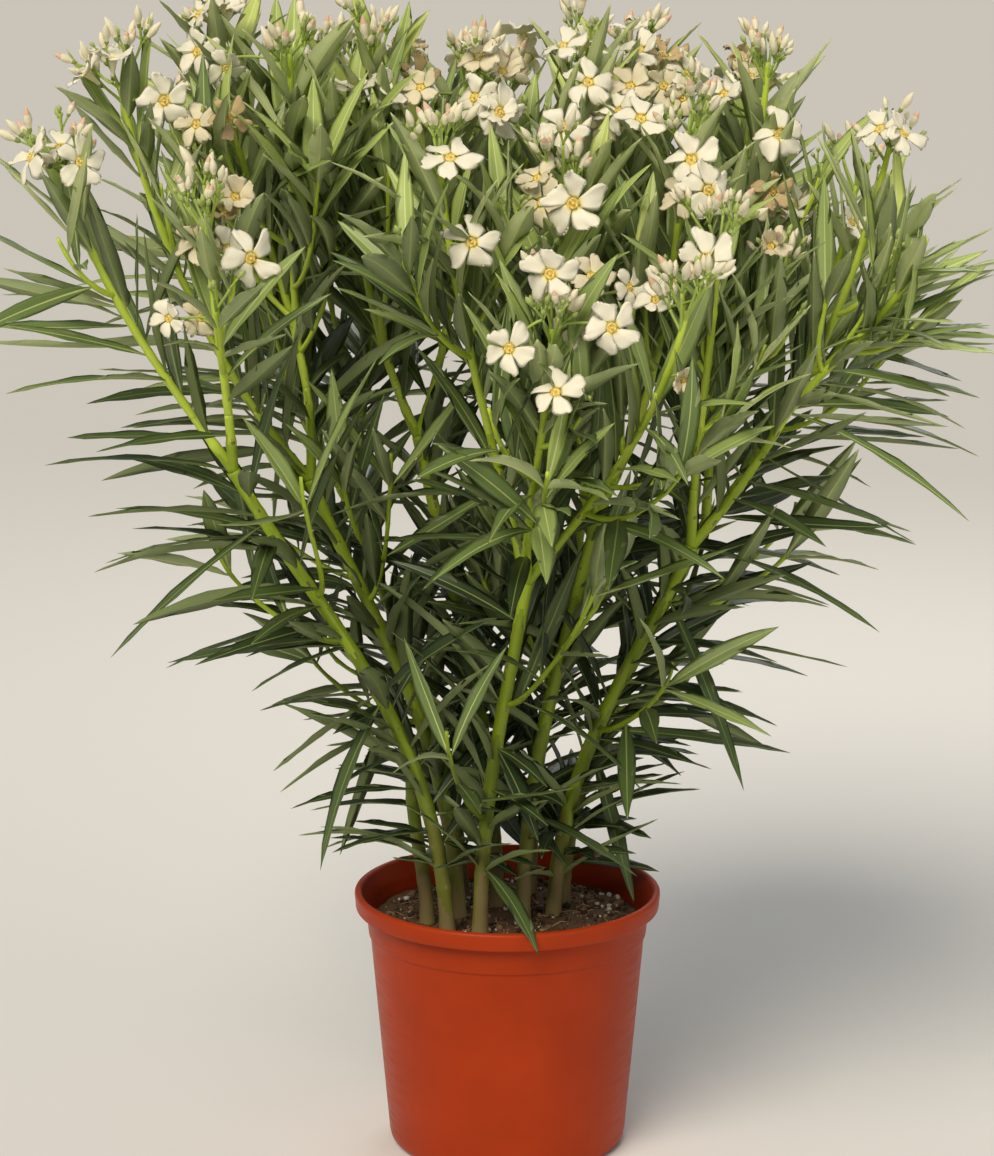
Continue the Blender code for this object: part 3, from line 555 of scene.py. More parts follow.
def green_bark(name, colour, roughness):
    """Living bark with a waxy skin: a soft shine over fine lengthwise wrinkles."""
    made, tree, shader = start_finish(name, colour, roughness, 1.45)
    # wrinkles about 1 mm apart and 10 mm long
    grained(tree, shader, 0.0012, 3.0, 0.35, 0.0003, (1.0, 1.0, 0.12))
    return made


# from the oldest bark at the foot to this year's growth, then the scars; the low barks are darker
# partly with age and partly as painted shade under the crown
BARKS = [green_bark("bark_at_the_foot", "7b6d43", 0.62), green_bark("old_green_bark_and_painted_shade", "6a6d23", 0.56),
         green_bark("ripening_bark_and_painted_shade", "6f811b", 0.50), green_bark("second_year_bark", "83981d", 0.46),
         green_bark("young_bark", "a0b82b", 0.42), green_bark("new_shoot_bark", "bfd547", 0.40),
         green_bark("leaf_scar_cork", "7f764b", 0.75)]
ZONE_TOPS = (0.215, 0.265, 0.330, 0.430, 0.570)         # where each bark gives way to the next
NEW_SHOOT, SCAR = 5, 6


def bark_zone(heights):
    return np.digitize(heights, ZONE_TOPS)


def dressed_limb(path, start, end, radius_at, joints, sides, step, rng):
    """A limb with bark relief and its finish by height.  `radius_at` maps distance to radius."""
    count = max(6, int((end - start) / step))
    stations = np.linspace(start, end, count)
    relief, scars = bark_relief(stations, radius_at(stations), joints, sides, rng)
    line = part_of(path, start, end, count)
    spots, walls, caps = limb(line, relief, sides)
    turn = np.linspace(0.0, math.tau, sides, endpoint=False)
    flow = rng.uniform(0.0, 6.0)
    shift = 0.016 * np.sin(turn + 60 * stations[:-1, None] + flow) + 0.008 * np.sin(3 * turn - flow)
    skins = bark_zone(line[:-1, 2:] + shift).ravel()
    skins[scars[:-1].ravel() & (skins < NEW_SHOOT)] = SCAR
    return spots, ((walls, skins), (caps, bark_zone(line[-1, 2])))


cane_paths = {name: cane_path(foot, fork) for name, foot, fork in CANES}
boughs = {}
for cane, _, fork in CANES:
    carried = [m for m in MASSES if m[1] == cane]
    lean = tangent(cane_paths[cane], length(cane_paths[cane]) - 0.003)
    aims = []
    for _, _, _, tips in carried:
        middle = np.mean([t[:3] for t in tips], axis=0)
        aims.append(unit(unit(middle - np.array(fork)) * 0.75 + lean * 0.25))
    for aim, (name, _, _, tips) in zip(fan_out(aims, ARM_ANGLE), carried):
        boughs[name] = shoot_path(fork, aim, tips[0][:3])

limb_lines = []             # every limb as straight runs with their radii, for the leaves to clear


def note_limb(path, radius, runs=8):
    """Adds a limb to those that the leaves keep clear of."""
    line = part_of(path, 0.0, length(path), runs + 1)
    radii = np.broadcast_to(radius, runs + 1)
    for a, b, ra, rb in zip(line, line[1:], radii, radii[1:]):
        limb_lines.append((*a, *b, max(ra, rb)))


def flared(s):
    """How much wider a cane is at a distance from its foot."""
    return 1 + (FLARE - 1) * np.exp(-s / FLARE_HEIGHT)


rng = random.Random(7)
cane_parts = []
for name, _, _ in CANES:
    path = cane_paths[name]
    total = length(path)
    note_limb(path, np.linspace(CANE_FOOT, CANE_HEAD, 9))

    def radius_at(s):
        taper = CANE_FOOT + (CANE_HEAD - CANE_FOOT) * s / total
        return taper * flared(s) + COLLAR * np.exp(-((total - s) / COLLAR_HEIGHT) ** 2)

    joints = np.arange(rng.uniform(0.03, 0.05), total - 0.01, JOINT_STEP)
    cane_parts.append(dressed_limb(path, 0.0, total, radius_at, joints, CANE_SIDES, RING_STEP, rng))
foot, head = STUB
path = bezier(np.array((*foot, GROUND)), np.array((*foot, GROUND + STUB_PULL)),
              np.array(head) - UP * STUB_PULL, np.array(head))
note_limb(path, CANE_FOOT)
cane_parts.append(dressed_limb(path, 0.0, length(path), lambda s: CANE_FOOT * (0.95 - s) * flared(s),
                               STUB_JOINTS, CANE_SIDES, RING_STEP, rng))
canes = joined("canes", cane_parts, BARKS)
fit(canes, "green_bark", "cane_pruned_stub", *["cane_" + c[0] for c in CANES])

STEM_HEAD = 0.0025
BARE_TOP = 0.032            # the bare stalk above a shoot's last leaves
STALK_HEAD = 0.0020


def tapering(at, radii):
    """The radius along a stem, from some distances and the radii there."""
    return lambda s: np.interp(s, at, radii)


def bough_radius(end, stop):
    """The radius along a whole bough and the leafy shoot that grows on from it."""
    return tapering((0.0, ARM, end, stop, stop + BARE_TOP),
                    (CANE_HEAD * 0.94, BOUGH_FOOT, BOUGH_HEAD, STEM_HEAD, STALK_HEAD))


bough_ends = {}
bough_parts = []
for name, _, share, _ in MASSES:
    path = boughs[name]
    bough_ends[name] = max(ARM + 0.030, share * length(path)) if share else ARM
    stop = length(path) - BARE_TOP
    note_limb(path, np.linspace(BOUGH_FOOT, STEM_HEAD, 11), 10)
    joints = np.arange(0.022, bough_ends[name] - 0.004, JOINT_STEP)
    bough_parts.append(dressed_limb(path, 0.0005, bough_ends[name] + 0.002,
                                    bough_radius(bough_ends[name], stop), joints, BOUGH_SIDES,
                                    RING_STEP, rng))
bough_piece = joined("boughs", bough_parts, BARKS)
fit(bough_piece, "green_bark", *["bough_" + m[0] for m in MASSES if m[2]])

# --------------------------------------------------------------------------- leafy shoots
# This year's growth: each bough runs on as a leafy shoot and puts out finer twigs, and short
# shoots clothe the canes.  The bark is thin, waxy and bright, with a faint swelling at each
# whorl, and the last 3 cm under the flowers are bare.
WHORL_STEP = 0.0208         # distance between whorls of three leaves
SIDE_WHORL_STEP = 0.031
TWIG_SHARES = (0.12, 0.28, 0.44, 0.60)
OPEN_SHARES = (0.30, 0.55)  # the same on the outermost shoots, which stay open
OPEN = ("far_left", "far_right", "right_outer", "left_outer", "right_face", "left_face",
        "side_left_mid_high", "side_front_high", "side_centre_low", "side_back_mid_low",
        "side_back_low")
SECOND_FOOT = 0.0030
SECOND_ROOT = 0.030         # where a mass's second stem leaves the first
SIDE_FOOT = 0.0028
TWIG_ROOT, TWIG_FOOT, TWIG_HEAD = 0.0025, 0.0020, 0.0013
TWIG_CLEAR = 0.007          # least air between a twig and another limb's middle
TWIG_RUN = (0.52, 0.74)     # a twig's length, as a share of the shoot above it
TWIG_TRIES = 8
TWIG_SKY = 0.012            # how clear a twig keeps of the crown's gaps
TWIG_SLACK, SIDE_TWIG_SLACK = 0.006, 0.030      # how far a twig may enter a neighbour's space
GOLDEN_TURN = 2.4           # each twig, stalk or bud stands this much further round (rad)
SHOOT_RING_STEP = 0.0042

# side shoot, cane, share of the cane below it, tip (x, y, z)
SIDE_SHOOTS = (
    ("left_front_low", "left_front", 0.62, (-0.214, -0.098, 0.498)),
    ("left_front_high", "left_front", 0.72, (-0.148, -0.160, 0.560)),
    ("left_mid_low", "left_mid", 0.44, (-0.160, 0.030, 0.400)),
    ("left_mid_high", "left_mid", 0.72, (-0.088, -0.030, 0.555)),
    ("front_low", "centre_front", 0.34, (-0.045, -0.130, 0.365)),
    ("front_high", "centre_front", 0.66, (0.068, -0.128, 0.490)),
    ("centre_low", "centre_right", 0.60, (0.010, -0.004, 0.474)),
    ("right_front_low", "right_front", 0.50, (0.122, -0.100, 0.410)),
    ("right_front_high", "right_front", 0.80, (0.222, -0.040, 0.500)),
    ("right_back_low", "right_back", 0.50, (0.150, 0.080, 0.370)),
    ("right_back_high", "right_back", 0.80, (0.232, 0.120, 0.490)),
    ("back_low", "back_right", 0.56, (0.030, 0.190, 0.410)),
    ("back_mid_low", "back_mid", 0.50, (-0.030, 0.110, 0.450)),
    ("back_left_low", "back_left", 0.52, (-0.150, 0.130, 0.380)),
    ("back_left_high", "back_left", 0.80, (-0.206, 0.185, 0.480)),
)

shoots = []         # mass, kind, path, end of its leaves, radius function, open flowers
space_runs, space_owners = [], []


def claim_space(name, path, stop, bare):
    """A mass owns what lies nearer to its own stems than to any other mass's."""
    spine = part_of(path, 0.0, stop, 5)
    if bare:
        spine = np.vstack((spine, path[-1:]))
    for a, b in zip(spine, spine[1:]):
        space_owners.append(name)
        space_runs.append((*a, *b))
    return spine


for name, _, _, tips in MASSES:
    whole = boughs[name]
    end, stop = bough_ends[name], length(whole) - BARE_TOP
    path = part_of(whole, end, length(whole), 120)
    main = bough_radius(end, stop)
    shoots.append((name, "main", path, stop - end, lambda s, end=end, main=main: main(s + end),
                   tips[0][3]))
    spine = claim_space(name, path, stop - end, True)
    for tip in tips[1:]:
        root = point_at(spine, SECOND_ROOT)
        lean = unit(unit(np.array(tip[:3]) - root) + tangent(spine, SECOND_ROOT) * 0.4)
        branch = shoot_path(root, lean, tip[:3])
        stop = length(branch) - BARE_TOP
        radius_at = tapering((0.0, stop, stop + BARE_TOP), (SECOND_FOOT, STEM_HEAD, STALK_HEAD))
        shoots.append((name, "second", branch, stop, radius_at, tip[3]))
        claim_space(name, branch, stop, True)
for name, cane, share, tip in SIDE_SHOOTS:
    line = cane_paths[cane]
    s = share * length(line)
    root, t = point_at(line, s), tangent(line, s)
    aim = np.array(tip) - root
    aim = unit(aim - t * np.dot(aim, t))
    side = bezier(root + aim * 0.002, root + aim * 0.022, np.array(tip) - UP * 0.03, np.array(tip))
    stop = length(side)
    radius_at = tapering((0.0, 0.012, stop), (SIDE_FOOT, TWIG_FOOT, TWIG_HEAD))
    shoots.append(("side_" + name, "side", side, stop, radius_at, 0))
    claim_space("side_" + name, side, stop, False)
space_runs, space_owners = np.array(space_runs), np.array(space_owners)


def distance(points, lines):
    """Distances from each point to each straight run."""
    a = lines[:, 0:3]
    ab = lines[:, 3:6] - a
    ap = points[:, None, :] - a
    t = np.clip((ap * ab).sum(2) / (ab * ab).sum(1), 0.0, 1.0)
    return np.linalg.norm(ap - t[..., None] * ab, axis=2)


def in_space(name, points, slack):
    """True where every point keeps to the mass's own space, give or take `slack`."""
    gaps = distance(points, space_runs)
    own = space_owners == name
    return bool((gaps[:, ~own].min(1) - gaps[:, own].min(1) > -slack).all())


EYE_DISTANCE = 2.4
FRONT_EYE = np.array((0.0, -EYE_DISTANCE, 0.95))        # for what hides what, seen from the front
# Some places are given as the camera frames the plant: column and row of its 994 x 1156
# frame, and depth y (m).
FRAME_EYE = np.array((0.0, -EYE_DISTANCE, 0.955))
FRAME_TILT = math.radians(11.82)
FRAME_MIDDLE = (507.5, 578.0)       # the column over the pot's middle, and the middle row
FRAME_SCALE = 3189.0                # pixels to a slope of one
PIXEL = 0.00077                     # width of a pixel at the plant's middle (m)

# round gaps in the crown: column, row and radius (px)
OPEN_SKY = (
    (850, 88, 36), (905, 80, 26), (952, 138, 36), (978, 212, 22), (752, 8, 18), (806, 34, 22),
    (512, 48, 22), (440, 36, 18), (95, 36, 24), (22, 100, 22), (118, 190, 22), (12, 212, 20),
    (200, 575, 24), (215, 625, 20), (285, 675, 26), (332, 668, 18), (272, 738, 26), (236, 700, 18),
    (762, 630, 24), (735, 682, 20), (393, 415, 13), (400, 520, 12), (545, 675, 11), (612, 640, 11),
)


def from_frame(column, row, y):
    """The place at depth y that the camera shows at a column and row, to the millimetre."""
    ray = np.array((0.0, math.cos(FRAME_TILT), -math.sin(FRAME_TILT)))
    above = np.array((0.0, math.sin(FRAME_TILT), math.cos(FRAME_TILT)))
    ray = ray + above * (FRAME_MIDDLE[1] - row) / FRAME_SCALE
    ray[0] = (column - FRAME_MIDDLE[0]) / FRAME_SCALE
    return np.round(FRAME_EYE + ray * (y - FRAME_EYE[1]) / ray[1], 3)


sky_spots = np.array([from_frame(column, row, 0.0)[[0, 2]] for column, row, _ in OPEN_SKY])
sky_radii = np.round(np.array([radius for _, _, radius in OPEN_SKY]) * PIXEL, 3)


def seen(points):
    """Where points stand in the view from the front (m at the plant's middle) and how deep."""
    off = points - FRONT_EYE
    return off[:, [0, 2]] / off[:, 1:2] * EYE_DISTANCE, off[:, 1]


def round_stem(a, b, turn):
    """The way out of a stem at an angle round it, from its two cross directions."""
    return a * math.cos(turn) + b * math.sin(turn)


def covers_sky(points, margin=0.0):
    """True if a blade or twig shows in one of the crown's gaps."""
    spots = seen(points)[0] + (0.0, FRONT_EYE[2])
    gaps = np.linalg.norm(spots[:, None] - sky_spots, axis=2)
    return bool((gaps < sky_radii + margin).any())


rng = random.Random(2020)
for name, kind, path, stop, *_ in list(shoots):
    if kind == "side" and name not in OPEN:
        continue
    turn = rng.uniform(0.0, math.tau)
    slack = SIDE_TWIG_SLACK if kind == "side" else TWIG_SLACK
    for share in OPEN_SHARES if name in OPEN else TWIG_SHARES:
        s = share * stop * rng.uniform(0.9, 1.1)
        root, t = point_at(path, s), tangent(path, s)
        a, b = cross_axes(t)
        run = (length(path) - s) * rng.uniform(*TWIG_RUN) + (0.03 if kind == "side" else 0.0)
        for _ in range(TWIG_TRIES):
            turn += GOLDEN_TURN
            out = round_stem(a, b, turn)
            tip = root + unit(t * 0.80 + out * 0.60 + UP * 0.25) * run
            twig = shoot_path(root, t * 0.55 + out, tip, 0.45)
            if covers_sky(twig[::20], TWIG_SKY) or not in_space(name, twig[::20], slack):
                continue
            if distance(twig[30::20], np.array(limb_lines)).min() > TWIG_CLEAR:
                whole = length(twig)
                radius_at = tapering((0.0, 0.01, whole), (TWIG_ROOT, TWIG_FOOT, TWIG_HEAD))
                shoots.append((name, "twig", twig, whole, radius_at, 0))
                note_limb(twig, 0.0016, 4)
                break
for _, kind, path, *_ in shoots:
    if kind in ("second", "side"):
        note_limb(path, 0.0022, 6)
limb_lines = np.array(limb_lines)


def whorls_of(kind, stop):
    """Distances of the leaf whorls up a shoot, and each one's share of the way."""
    start = 0.016 if kind == "twig" else 0.006
    count = max(3, round((stop - start) / (SIDE_WHORL_STEP if kind == "side" else WHORL_STEP)))
    shares = (np.arange(count) + 0.15) / count
    return start + (stop - start) * (0.03 + 0.955 * shares), shares


stem_parts = []
rng = random.Random(8)
for _, kind, path, stop, radius_at, _ in shoots:
    sides = 12 if kind in ("main", "second") else 9
    stem_parts.append(dressed_limb(path, 0.0, length(path), radius_at, whorls_of(kind, stop)[0],
                                   sides, SHOOT_RING_STEP, rng))
masses = ["mass_" + m[0] for m in MASSES]
side_nodes = ["side_" + s[0] for s in SIDE_SHOOTS]
leafy_shoots = joined("leafy_shoots", stem_parts, BARKS)
fit(leafy_shoots, "green_bark", *masses, *side_nodes)

# --------------------------------------------------------------------------------- leaves
# Oleander leaves stand in whorls of three: narrow leathery blades 10 to 15 cm long with a
# pale midrib, held up near the tips and spread or arched lower down.  The upper face has a
# thin wax, lime green when young and dark when old; the lower is paler and matt.  The green
# is also painted darker low in the crown and lighter high up: painted shade and light.
LEAF_LENGTH = 0.134
LEAF_WIDTH = 0.0166
LEAF_WAIST = 0.42           # where a leaf is widest, as a share of its length
WAIST_RISE, TIP_DROP = 0.045, 0.020     # its arch over a straight line, as shares of its length
BOW_RISE, BOW_FALL = 0.1992, 0.2192     # the curve through both: rise * v - fall * v * v
HANG = 0.20                 # how much of a leaf's downward turn remains, as blades seek the light
HANG_LOW = 0.30             # the same on the low side shoots
LIMB_CLEAR = 0.0006         # least air between a leaf and a limb
POT_CLEAR = 0.004           # least air between a leaf and the pot
REACH = 0.016               # how far the foliage may pass the solid part's box
SPACE_SLACK, SIDE_SLACK = 0.014, 0.035  # how far a leaf may enter a neighbour's space
SHOWN_HALF, SHOWN_AHEAD = 0.0052, 0.004 # strip kept clear in front of a stem that stays in sight
CANE_WHORL_STEP = 0.017     # between the whorls left on a cane
# angle from the stem at a shoot's foot, what it loses by the tip, and swing (degrees)
ANGLES = {"main": (78.0, 47.0, 9.0), "open": (68.0, 40.0, 18.0), "side": (80.0, 44.0, 17.0),
          "twig": (70.0, 42.0, 9.0)}
# size at a shoot's foot, what it loses by the tip, and the least and most share of it
SIZES = {"main": (1.08, 0.32, 0.84, 1.08), "side": (1.06, 0.22, 0.70, 1.14),
         "twig": (0.98, 0.36, 0.84, 1.08)}
LOST_OPEN = 0.36            # share of an open shoot's lower leaves that are missing
LOST_SIDE, LOST_OPEN_SIDE = 0.46, 0.20
MAY_HIDE = 0.20             # share of the leaves that may pass in front of a stem in sight
FREE_TIP = 0.75             # from this share of a side shoot or twig on, leaves may stand anywhere
CANE_THIN, CANE_THICKENS = 0.21, 0.17   # a cane's leaves thicken from this height, over this rise
CANE_KEPT, CANE_KEPT_MORE = 0.56, 0.34  # share of them that a cane still has, low and high up
CANE_SIZE, CANE_SIZE_MORE = 0.70, 0.28
CANE_ANGLE = (44.0, 84.0)
ROLL = 0.38                 # how unevenly blades are turned about their own line (rad)
DROOP, OPEN_DROOP = (0.02, 0.15), (-0.05, 0.13)         # sag of the tip, as a share of the length
BOW, OPEN_BOW = (0.3, 1.3), (-0.5, 0.9)
FOLD = (0.10, 0.42)         # how steeply both halves rise from the rib
TWIST = (-0.6, 0.6)         # turn from foot to tip (rad)
OLD_AT_FOOT, YOUNG_AT_TIP = 4.0, 2.2    # green of a leaf, and what it loses by the shoot's tip
YOUTH_AND_PAINTED_LIGHT_BY_HEIGHT, MIDDLE_HEIGHT = 6.0, 0.52      # and for each metre above the middle of the crown: partly younger growth, partly painted light high up and painted shade low down
# A blade that doesn't fit is tried again: share of its angle, share of its length, turn (rad)
TRIES = ((1.0, 1.0, 0.0), (0.9, 1.0, 0.0), (0.78, 1.0, 0.3), (0.78, 0.96, -0.6),
         (0.66, 0.96, 0.3), (0.62, 0.90, 0.3), (0.50, 0.88, -0.3), (0.50, 0.80, -0.3),
         (0.70, 0.72, 0.3))
BLADE_ROWS = np.array((0.0, 0.032, 0.07, 0.14, 0.24, 0.35, 0.46, 0.57, 0.68, 0.78, 0.87, 0.945))
BLADE_HALF = np.array((0.13, 0.12, 0.22, 0.50, 0.78, 0.94, 1.0, 0.97, 0.84, 0.64, 0.41, 0.19))
RIB_HALF = 0.00062
BLADE_THICK = 0.00045

SET_WIDTH = 0.80 * LEAF_WIDTH           # width of a listed leaf, before its own share
# leaves set one by one: root (moved to the nearest stem) and tip, each as column, row and depth
# in the camera's frame, then share of the width, and green (0 is the youngest)
# the greens of these leaves run darker low down, partly as painted shade under the crown
REACHING_LEAVES = (
    ((125, 320, -0.120), (0, 292, -0.100), 0.85, 3),
    ((172, 376, -0.118), (5, 392, -0.140), 0.85, 3),
    ((205, 470, -0.110), (45, 462, -0.080), 0.80, 4),
    ((272, 538, -0.100), (105, 560, -0.060), 0.85, 4),
    ((262, 525, -0.105), (110, 655, -0.150), 0.75, 4),
    ((335, 622, -0.088), (165, 665, -0.060), 0.85, 4),
    ((352, 650, -0.085), (250, 690, -0.120), 0.85, 4),
    ((372, 700, -0.080), (275, 770, -0.040), 0.90, 4),
    ((380, 708, -0.080), (320, 862, -0.160), 1.15, 4),
    ((415, 780, -0.060), (335, 768, -0.020), 0.90, 4),
    ((880, 345, -0.070), (994, 270, -0.050), 0.90, 2),
    ((852, 385, -0.070), (993, 322, -0.110), 0.80, 2),
    ((835, 410, -0.068), (965, 425, -0.040), 0.85, 3),
    ((820, 440, -0.060), (965, 516, -0.120), 0.80, 3),
    ((775, 490, -0.050), (915, 543, -0.020), 0.80, 4),
    ((700, 548, -0.045), (875, 627, -0.120), 0.85, 4),
    ((665, 645, 0.055), (848, 665, 0.080), 0.85, 4),
    ((625, 695, 0.045), (740, 690, 0.060), 1.00, 4),
    ((650, 585, -0.035), (742, 785, -0.120), 1.10, 4),
    ((600, 755, 0.035), (635, 905, -0.020), 1.10, 4),
    ((487, 866, -0.055), (537, 950, -0.131), 1.15, 4),
    ((246, 64, 0.030), (156, -2, 0.000), 0.95, 3),
    ((250, 70, 0.030), (290, 10, 0.050), 0.90, 3),
    ((333, 95, 0.010), (425, 8, 0.000), 0.70, 3),
    ((332, 90, 0.010), (384, 38, -0.020), 0.85, 1),
    ((436, 290, -0.118), (414, 232, -0.165), 1.35, 2),
    ((476, 215, -0.085), (508, 140, -0.100), 1.25, 2),
    ((634, 290, -0.100), (656, 190, -0.135), 1.00, 1),
    ((888, 290, -0.072), (893, 180, -0.105), 1.35, 3),
    ((868, 262, -0.060), (822, 140, -0.055), 1.10, 3),
    ((905, 285, -0.080), (921, 198, -0.075), 0.90, 2),
    ((213, 285, -0.150), (148, 195, -0.185), 1.20, 3),
    ((220, 262, -0.155), (262, 190, -0.180), 1.20, 3),
    ((276, 160, -0.010), (296, 82, -0.040), 1.20, 2),
    ((148, 118, -0.020), (131, 48, -0.030), 1.10, 3),
    ((190, 160, -0.040), (202, 52, -0.030), 1.10, 3),
    ((330, 215, -0.000), (288, 140, -0.080), 1.10, 2),
    ((480, 870, -0.052), (400, 800, -0.100), 1.00, 4),
    ((560, 800, 0.000), (520, 750, -0.070), 1.10, 4),
    ((432, 803, -0.055), (369, 730, -0.090), 1.35, 4),
    ((512, 752, -0.068), (539, 841, -0.115), 1.30, 5),
    ((541, 822, -0.045), (637, 875, -0.085), 1.20, 4),
    ((447, 815, -0.060), (515, 812, -0.085), 0.90, 5),
    ((522, 692, -0.070), (641, 788, -0.130), 1.05, 4),
    ((437, 835, -0.050), (355, 821, -0.065), 0.90, 5),
    ((441, 862, -0.050), (330, 836, -0.075), 0.85, 5),
    ((590, 830, 0.010), (651, 838, -0.010), 1.15, 5),
    ((560, 785, -0.020), (664, 775, -0.050), 1.00, 5),
    ((618, 720, 0.020), (679, 775, -0.010), 1.05, 5),
    ((433, 862, -0.040), (392, 858, -0.060), 0.80, 5),
    ((470, 842, -0.030), (545, 868, -0.060), 0.95, 5),
    ((560, 840, 0.000), (600, 862, -0.030), 0.90, 5),
    ((505, 800, -0.040), (452, 770, -0.090), 0.95, 5),
    ((470, 780, -0.010), (430, 742, -0.060), 1.00, 5),
    ((585, 770, 0.030), (620, 735, 0.000), 1.00, 5),
    ((610, 800, 0.040), (668, 762, 0.020), 1.00, 5),
    ((600, 690, -0.010), (742, 690, -0.060), 1.00, 4),
    ((430, 420, 0.060), (478, 345, 0.050), 1.00, 4),
    ((425, 380, 0.070), (492, 370, 0.040), 1.00, 4),
    ((435, 450, 0.060), (492, 425, 0.050), 1.00, 4),
    ((440, 491, 0.060), (495, 455, 0.040), 1.00, 5),
    ((440, 470, 0.060), (468, 395, 0.090), 1.00, 4),
    ((330, 440, 0.060), (322, 345, 0.060), 1.05, 4),
    ((310, 400, 0.060), (352, 350, 0.060), 0.95, 4),
    ((320, 480, 0.060), (374, 430, 0.050), 1.00, 5),
    ((262, 400, 0.000), (238, 300, 0.020), 1.00, 3),
    ((268, 470, 0.000), (235, 400, -0.020), 1.00, 4),
    ((300, 520, 0.030), (276, 448, 0.020), 1.00, 4),
    ((790, 510, -0.050), (915, 543, -0.080), 0.75, 4),
    ((700, 545, -0.040), (672, 470, 0.000), 1.00, 5),
    ((655, 570, 0.020), (700, 500, 0.040), 1.00, 5),
    ((722, 520, 0.000), (768, 468, 0.030), 1.00, 4),
    ((760, 480, -0.040), (802, 430, 0.000), 1.00, 4),
    ((780, 470, -0.050), (758, 405, -0.020), 1.00, 4),
    ((372, 650, 0.000), (335, 575, 0.020), 1.05, 5),
    ((340, 590, 0.020), (312, 510, 0.030), 1.00, 5),
    ((400, 640, 0.020), (395, 560, 0.030), 1.05, 5),
    ((462, 593, 0.050), (402, 600, 0.060), 0.90, 5),
    ((618, 720, 0.020), (735, 712, 0.000), 1.10, 5),
    ((600, 745, 0.020), (692, 745, 0.000), 1.00, 5),
    ((470, 720, 0.040), (522, 658, 0.050), 1.00, 5),
    ((470, 760, 0.030), (530, 703, 0.050), 1.00, 5),
    ((500, 780, 0.030), (560, 718, 0.050), 1.00, 5),
    ((540, 760, 0.040), (592, 698, 0.060), 1.00, 5),
    ((520, 820, 0.030), (577, 773, 0.050), 1.00, 5),
    ((460, 800, 0.020), (425, 738, 0.040), 1.00, 5),
    ((560, 800, 0.030), (622, 788, 0.040), 1.00, 5),
    ((450, 680, 0.040), (398, 716, 0.050), 0.95, 5),
    ((590, 700, 0.050), (642, 640, 0.060), 1.00, 5),
    ((480, 650, 0.050), (540, 600, 0.060), 1.00, 5),
    ((430, 560, 0.060), (470, 500, 0.070), 1.00, 4),
    ((560, 640, 0.030), (610, 590, 0.050), 1.00, 5),
)


def leaf_skin(name, colour, roughness, coat):
    """Leathery leaf: a waxed upper face, finely pebbled, or the matt paler face below."""
    made, tree, shader = start_finish(name, colour, roughness, 1.42)
    shader.inputs["Coat Weight"].default_value = coat
    shader.inputs["Coat Roughness"].default_value = 0.32
    # the side veins' quilting, about 2 mm apart
    grained(tree, shader, 0.0022, 2.0, 0.25, 0.0003)
    return made


# upper faces from the youngest green to the oldest, then the ribs and the lower faces; which one a
# leaf takes also carries painted shade low in the crown and painted light high up
UPPERS = ("bdca6c", "a6b864", "899c56", "687c43", "48592c", "2f3d1f")
OLDEST = len(UPPERS) - 1
RIBS = ("d3dc94", "b4c078", "7f8f52")
LOWERS = ("b7c388", "97a473", "727f50")
LEAVES = ([leaf_skin("leaf_face_%d" % k, c, 0.44, 0.16) for k, c in enumerate(UPPERS)]
          + [leaf_skin("leaf_rib_%d" % k, c, 0.50, 0.05) for k, c in enumerate(RIBS)]
          + [leaf_skin("leaf_back_%d" % k, c, 0.62, 0.0) for k, c in enumerate(LOWERS)])


def blade_probe(root, waist, tip, side, width):
    """Points over a blade for the space tests: its own line and both edges."""
    out = []
    for t in np.linspace(0.16, 1.0, 9):
        end, f = (root, t / LEAF_WAIST) if t < LEAF_WAIST else (tip, (1 - t) / (1 - LEAF_WAIST))
        mid = end + (waist - end) * f
        out += [mid - side * 0.5 * width * f, mid, mid + side * 0.5 * width * f]
    return np.array(out)


def leaf_lines(root, aim, up, span, sag):
    """The places of a blade's waist and tip."""
    waist = root + aim * LEAF_WAIST * span + up * WAIST_RISE * span - UP * sag * 0.25
    return waist, root + aim * span - up * TIP_DROP * span - UP * sag


reach_low, reach_high = np.array(cad_box[0]) - REACH, np.array(cad_box[1]) + REACH


def within_reach(points):
    return bool(((points > reach_low) & (points < reach_high)).all())


def clears_limbs(points):
    """True if a blade clears every limb and the pot."""
    if (distance(points, limb_lines) - limb_lines[:, 6]).min() < LIMB_CLEAR:
        return False
    out = np.hypot(points[:, 0], points[:, 1])
    in_pot = (points[:, 2] < POT_HEIGHT + POT_CLEAR) & (out < RIM_RADIUS + POT_CLEAR)
    return not bool(in_pot.any())


# the stems that stay in sight from the front, each from a share of its way up
IN_SIGHT = {"left_front": 0.0, "left_mid": 0.30, "centre_front": 0.0, "centre_right": 0.45,
            "right_front": 0.40}
IN_SIGHT_BOUGHS = ("far_left", "left_face", "left_outer", "left_crest", "mid_heart", "centre_face",
                   "front_bouquet", "front_right", "right_face", "far_right", "right_heart")
IN_SIGHT_POINTS = 130       # of the points from a bough's foot

shown_paths = [cane_paths[c][int(PATH_POINTS * low):] for c, low in IN_SIGHT.items()]
shown_paths += [boughs[b][:IN_SIGHT_POINTS] for b in IN_SIGHT_BOUGHS]
shown_spots, shown_deep = seen(np.vstack([path[::2] for path in shown_paths]))


def hides_limb(points):
    """True if a blade passes in front of a stem that stays in sight."""
    spots, deep = seen(points)
    gaps = np.linalg.norm(spots[:, None] - shown_spots[None], axis=2)
    ahead = deep[:, None] < shown_deep[None] - SHOWN_AHEAD
    return bool(((gaps < SHOWN_HALF) & ahead).any())


def face_of(aim, t, roll):
    """The blade's cross direction: it faces along the stem if upright, to the sky if level."""
    level = 0.70 * (1.0 - aim[2] ** 2)
    side = unit(np.cross(aim, t * (1.0 - level) + UP * level))
    return side * math.cos(roll) + np.cross(side, aim) * math.sin(roll)


def leaf_angle(habit, f):
    """A blade's angle from its stem (rad), `f` of the way up a shoot."""
    at_foot, lost, swing = ANGLES[habit]
    return math.radians(at_foot - lost * f + rng.uniform(-swing, swing))


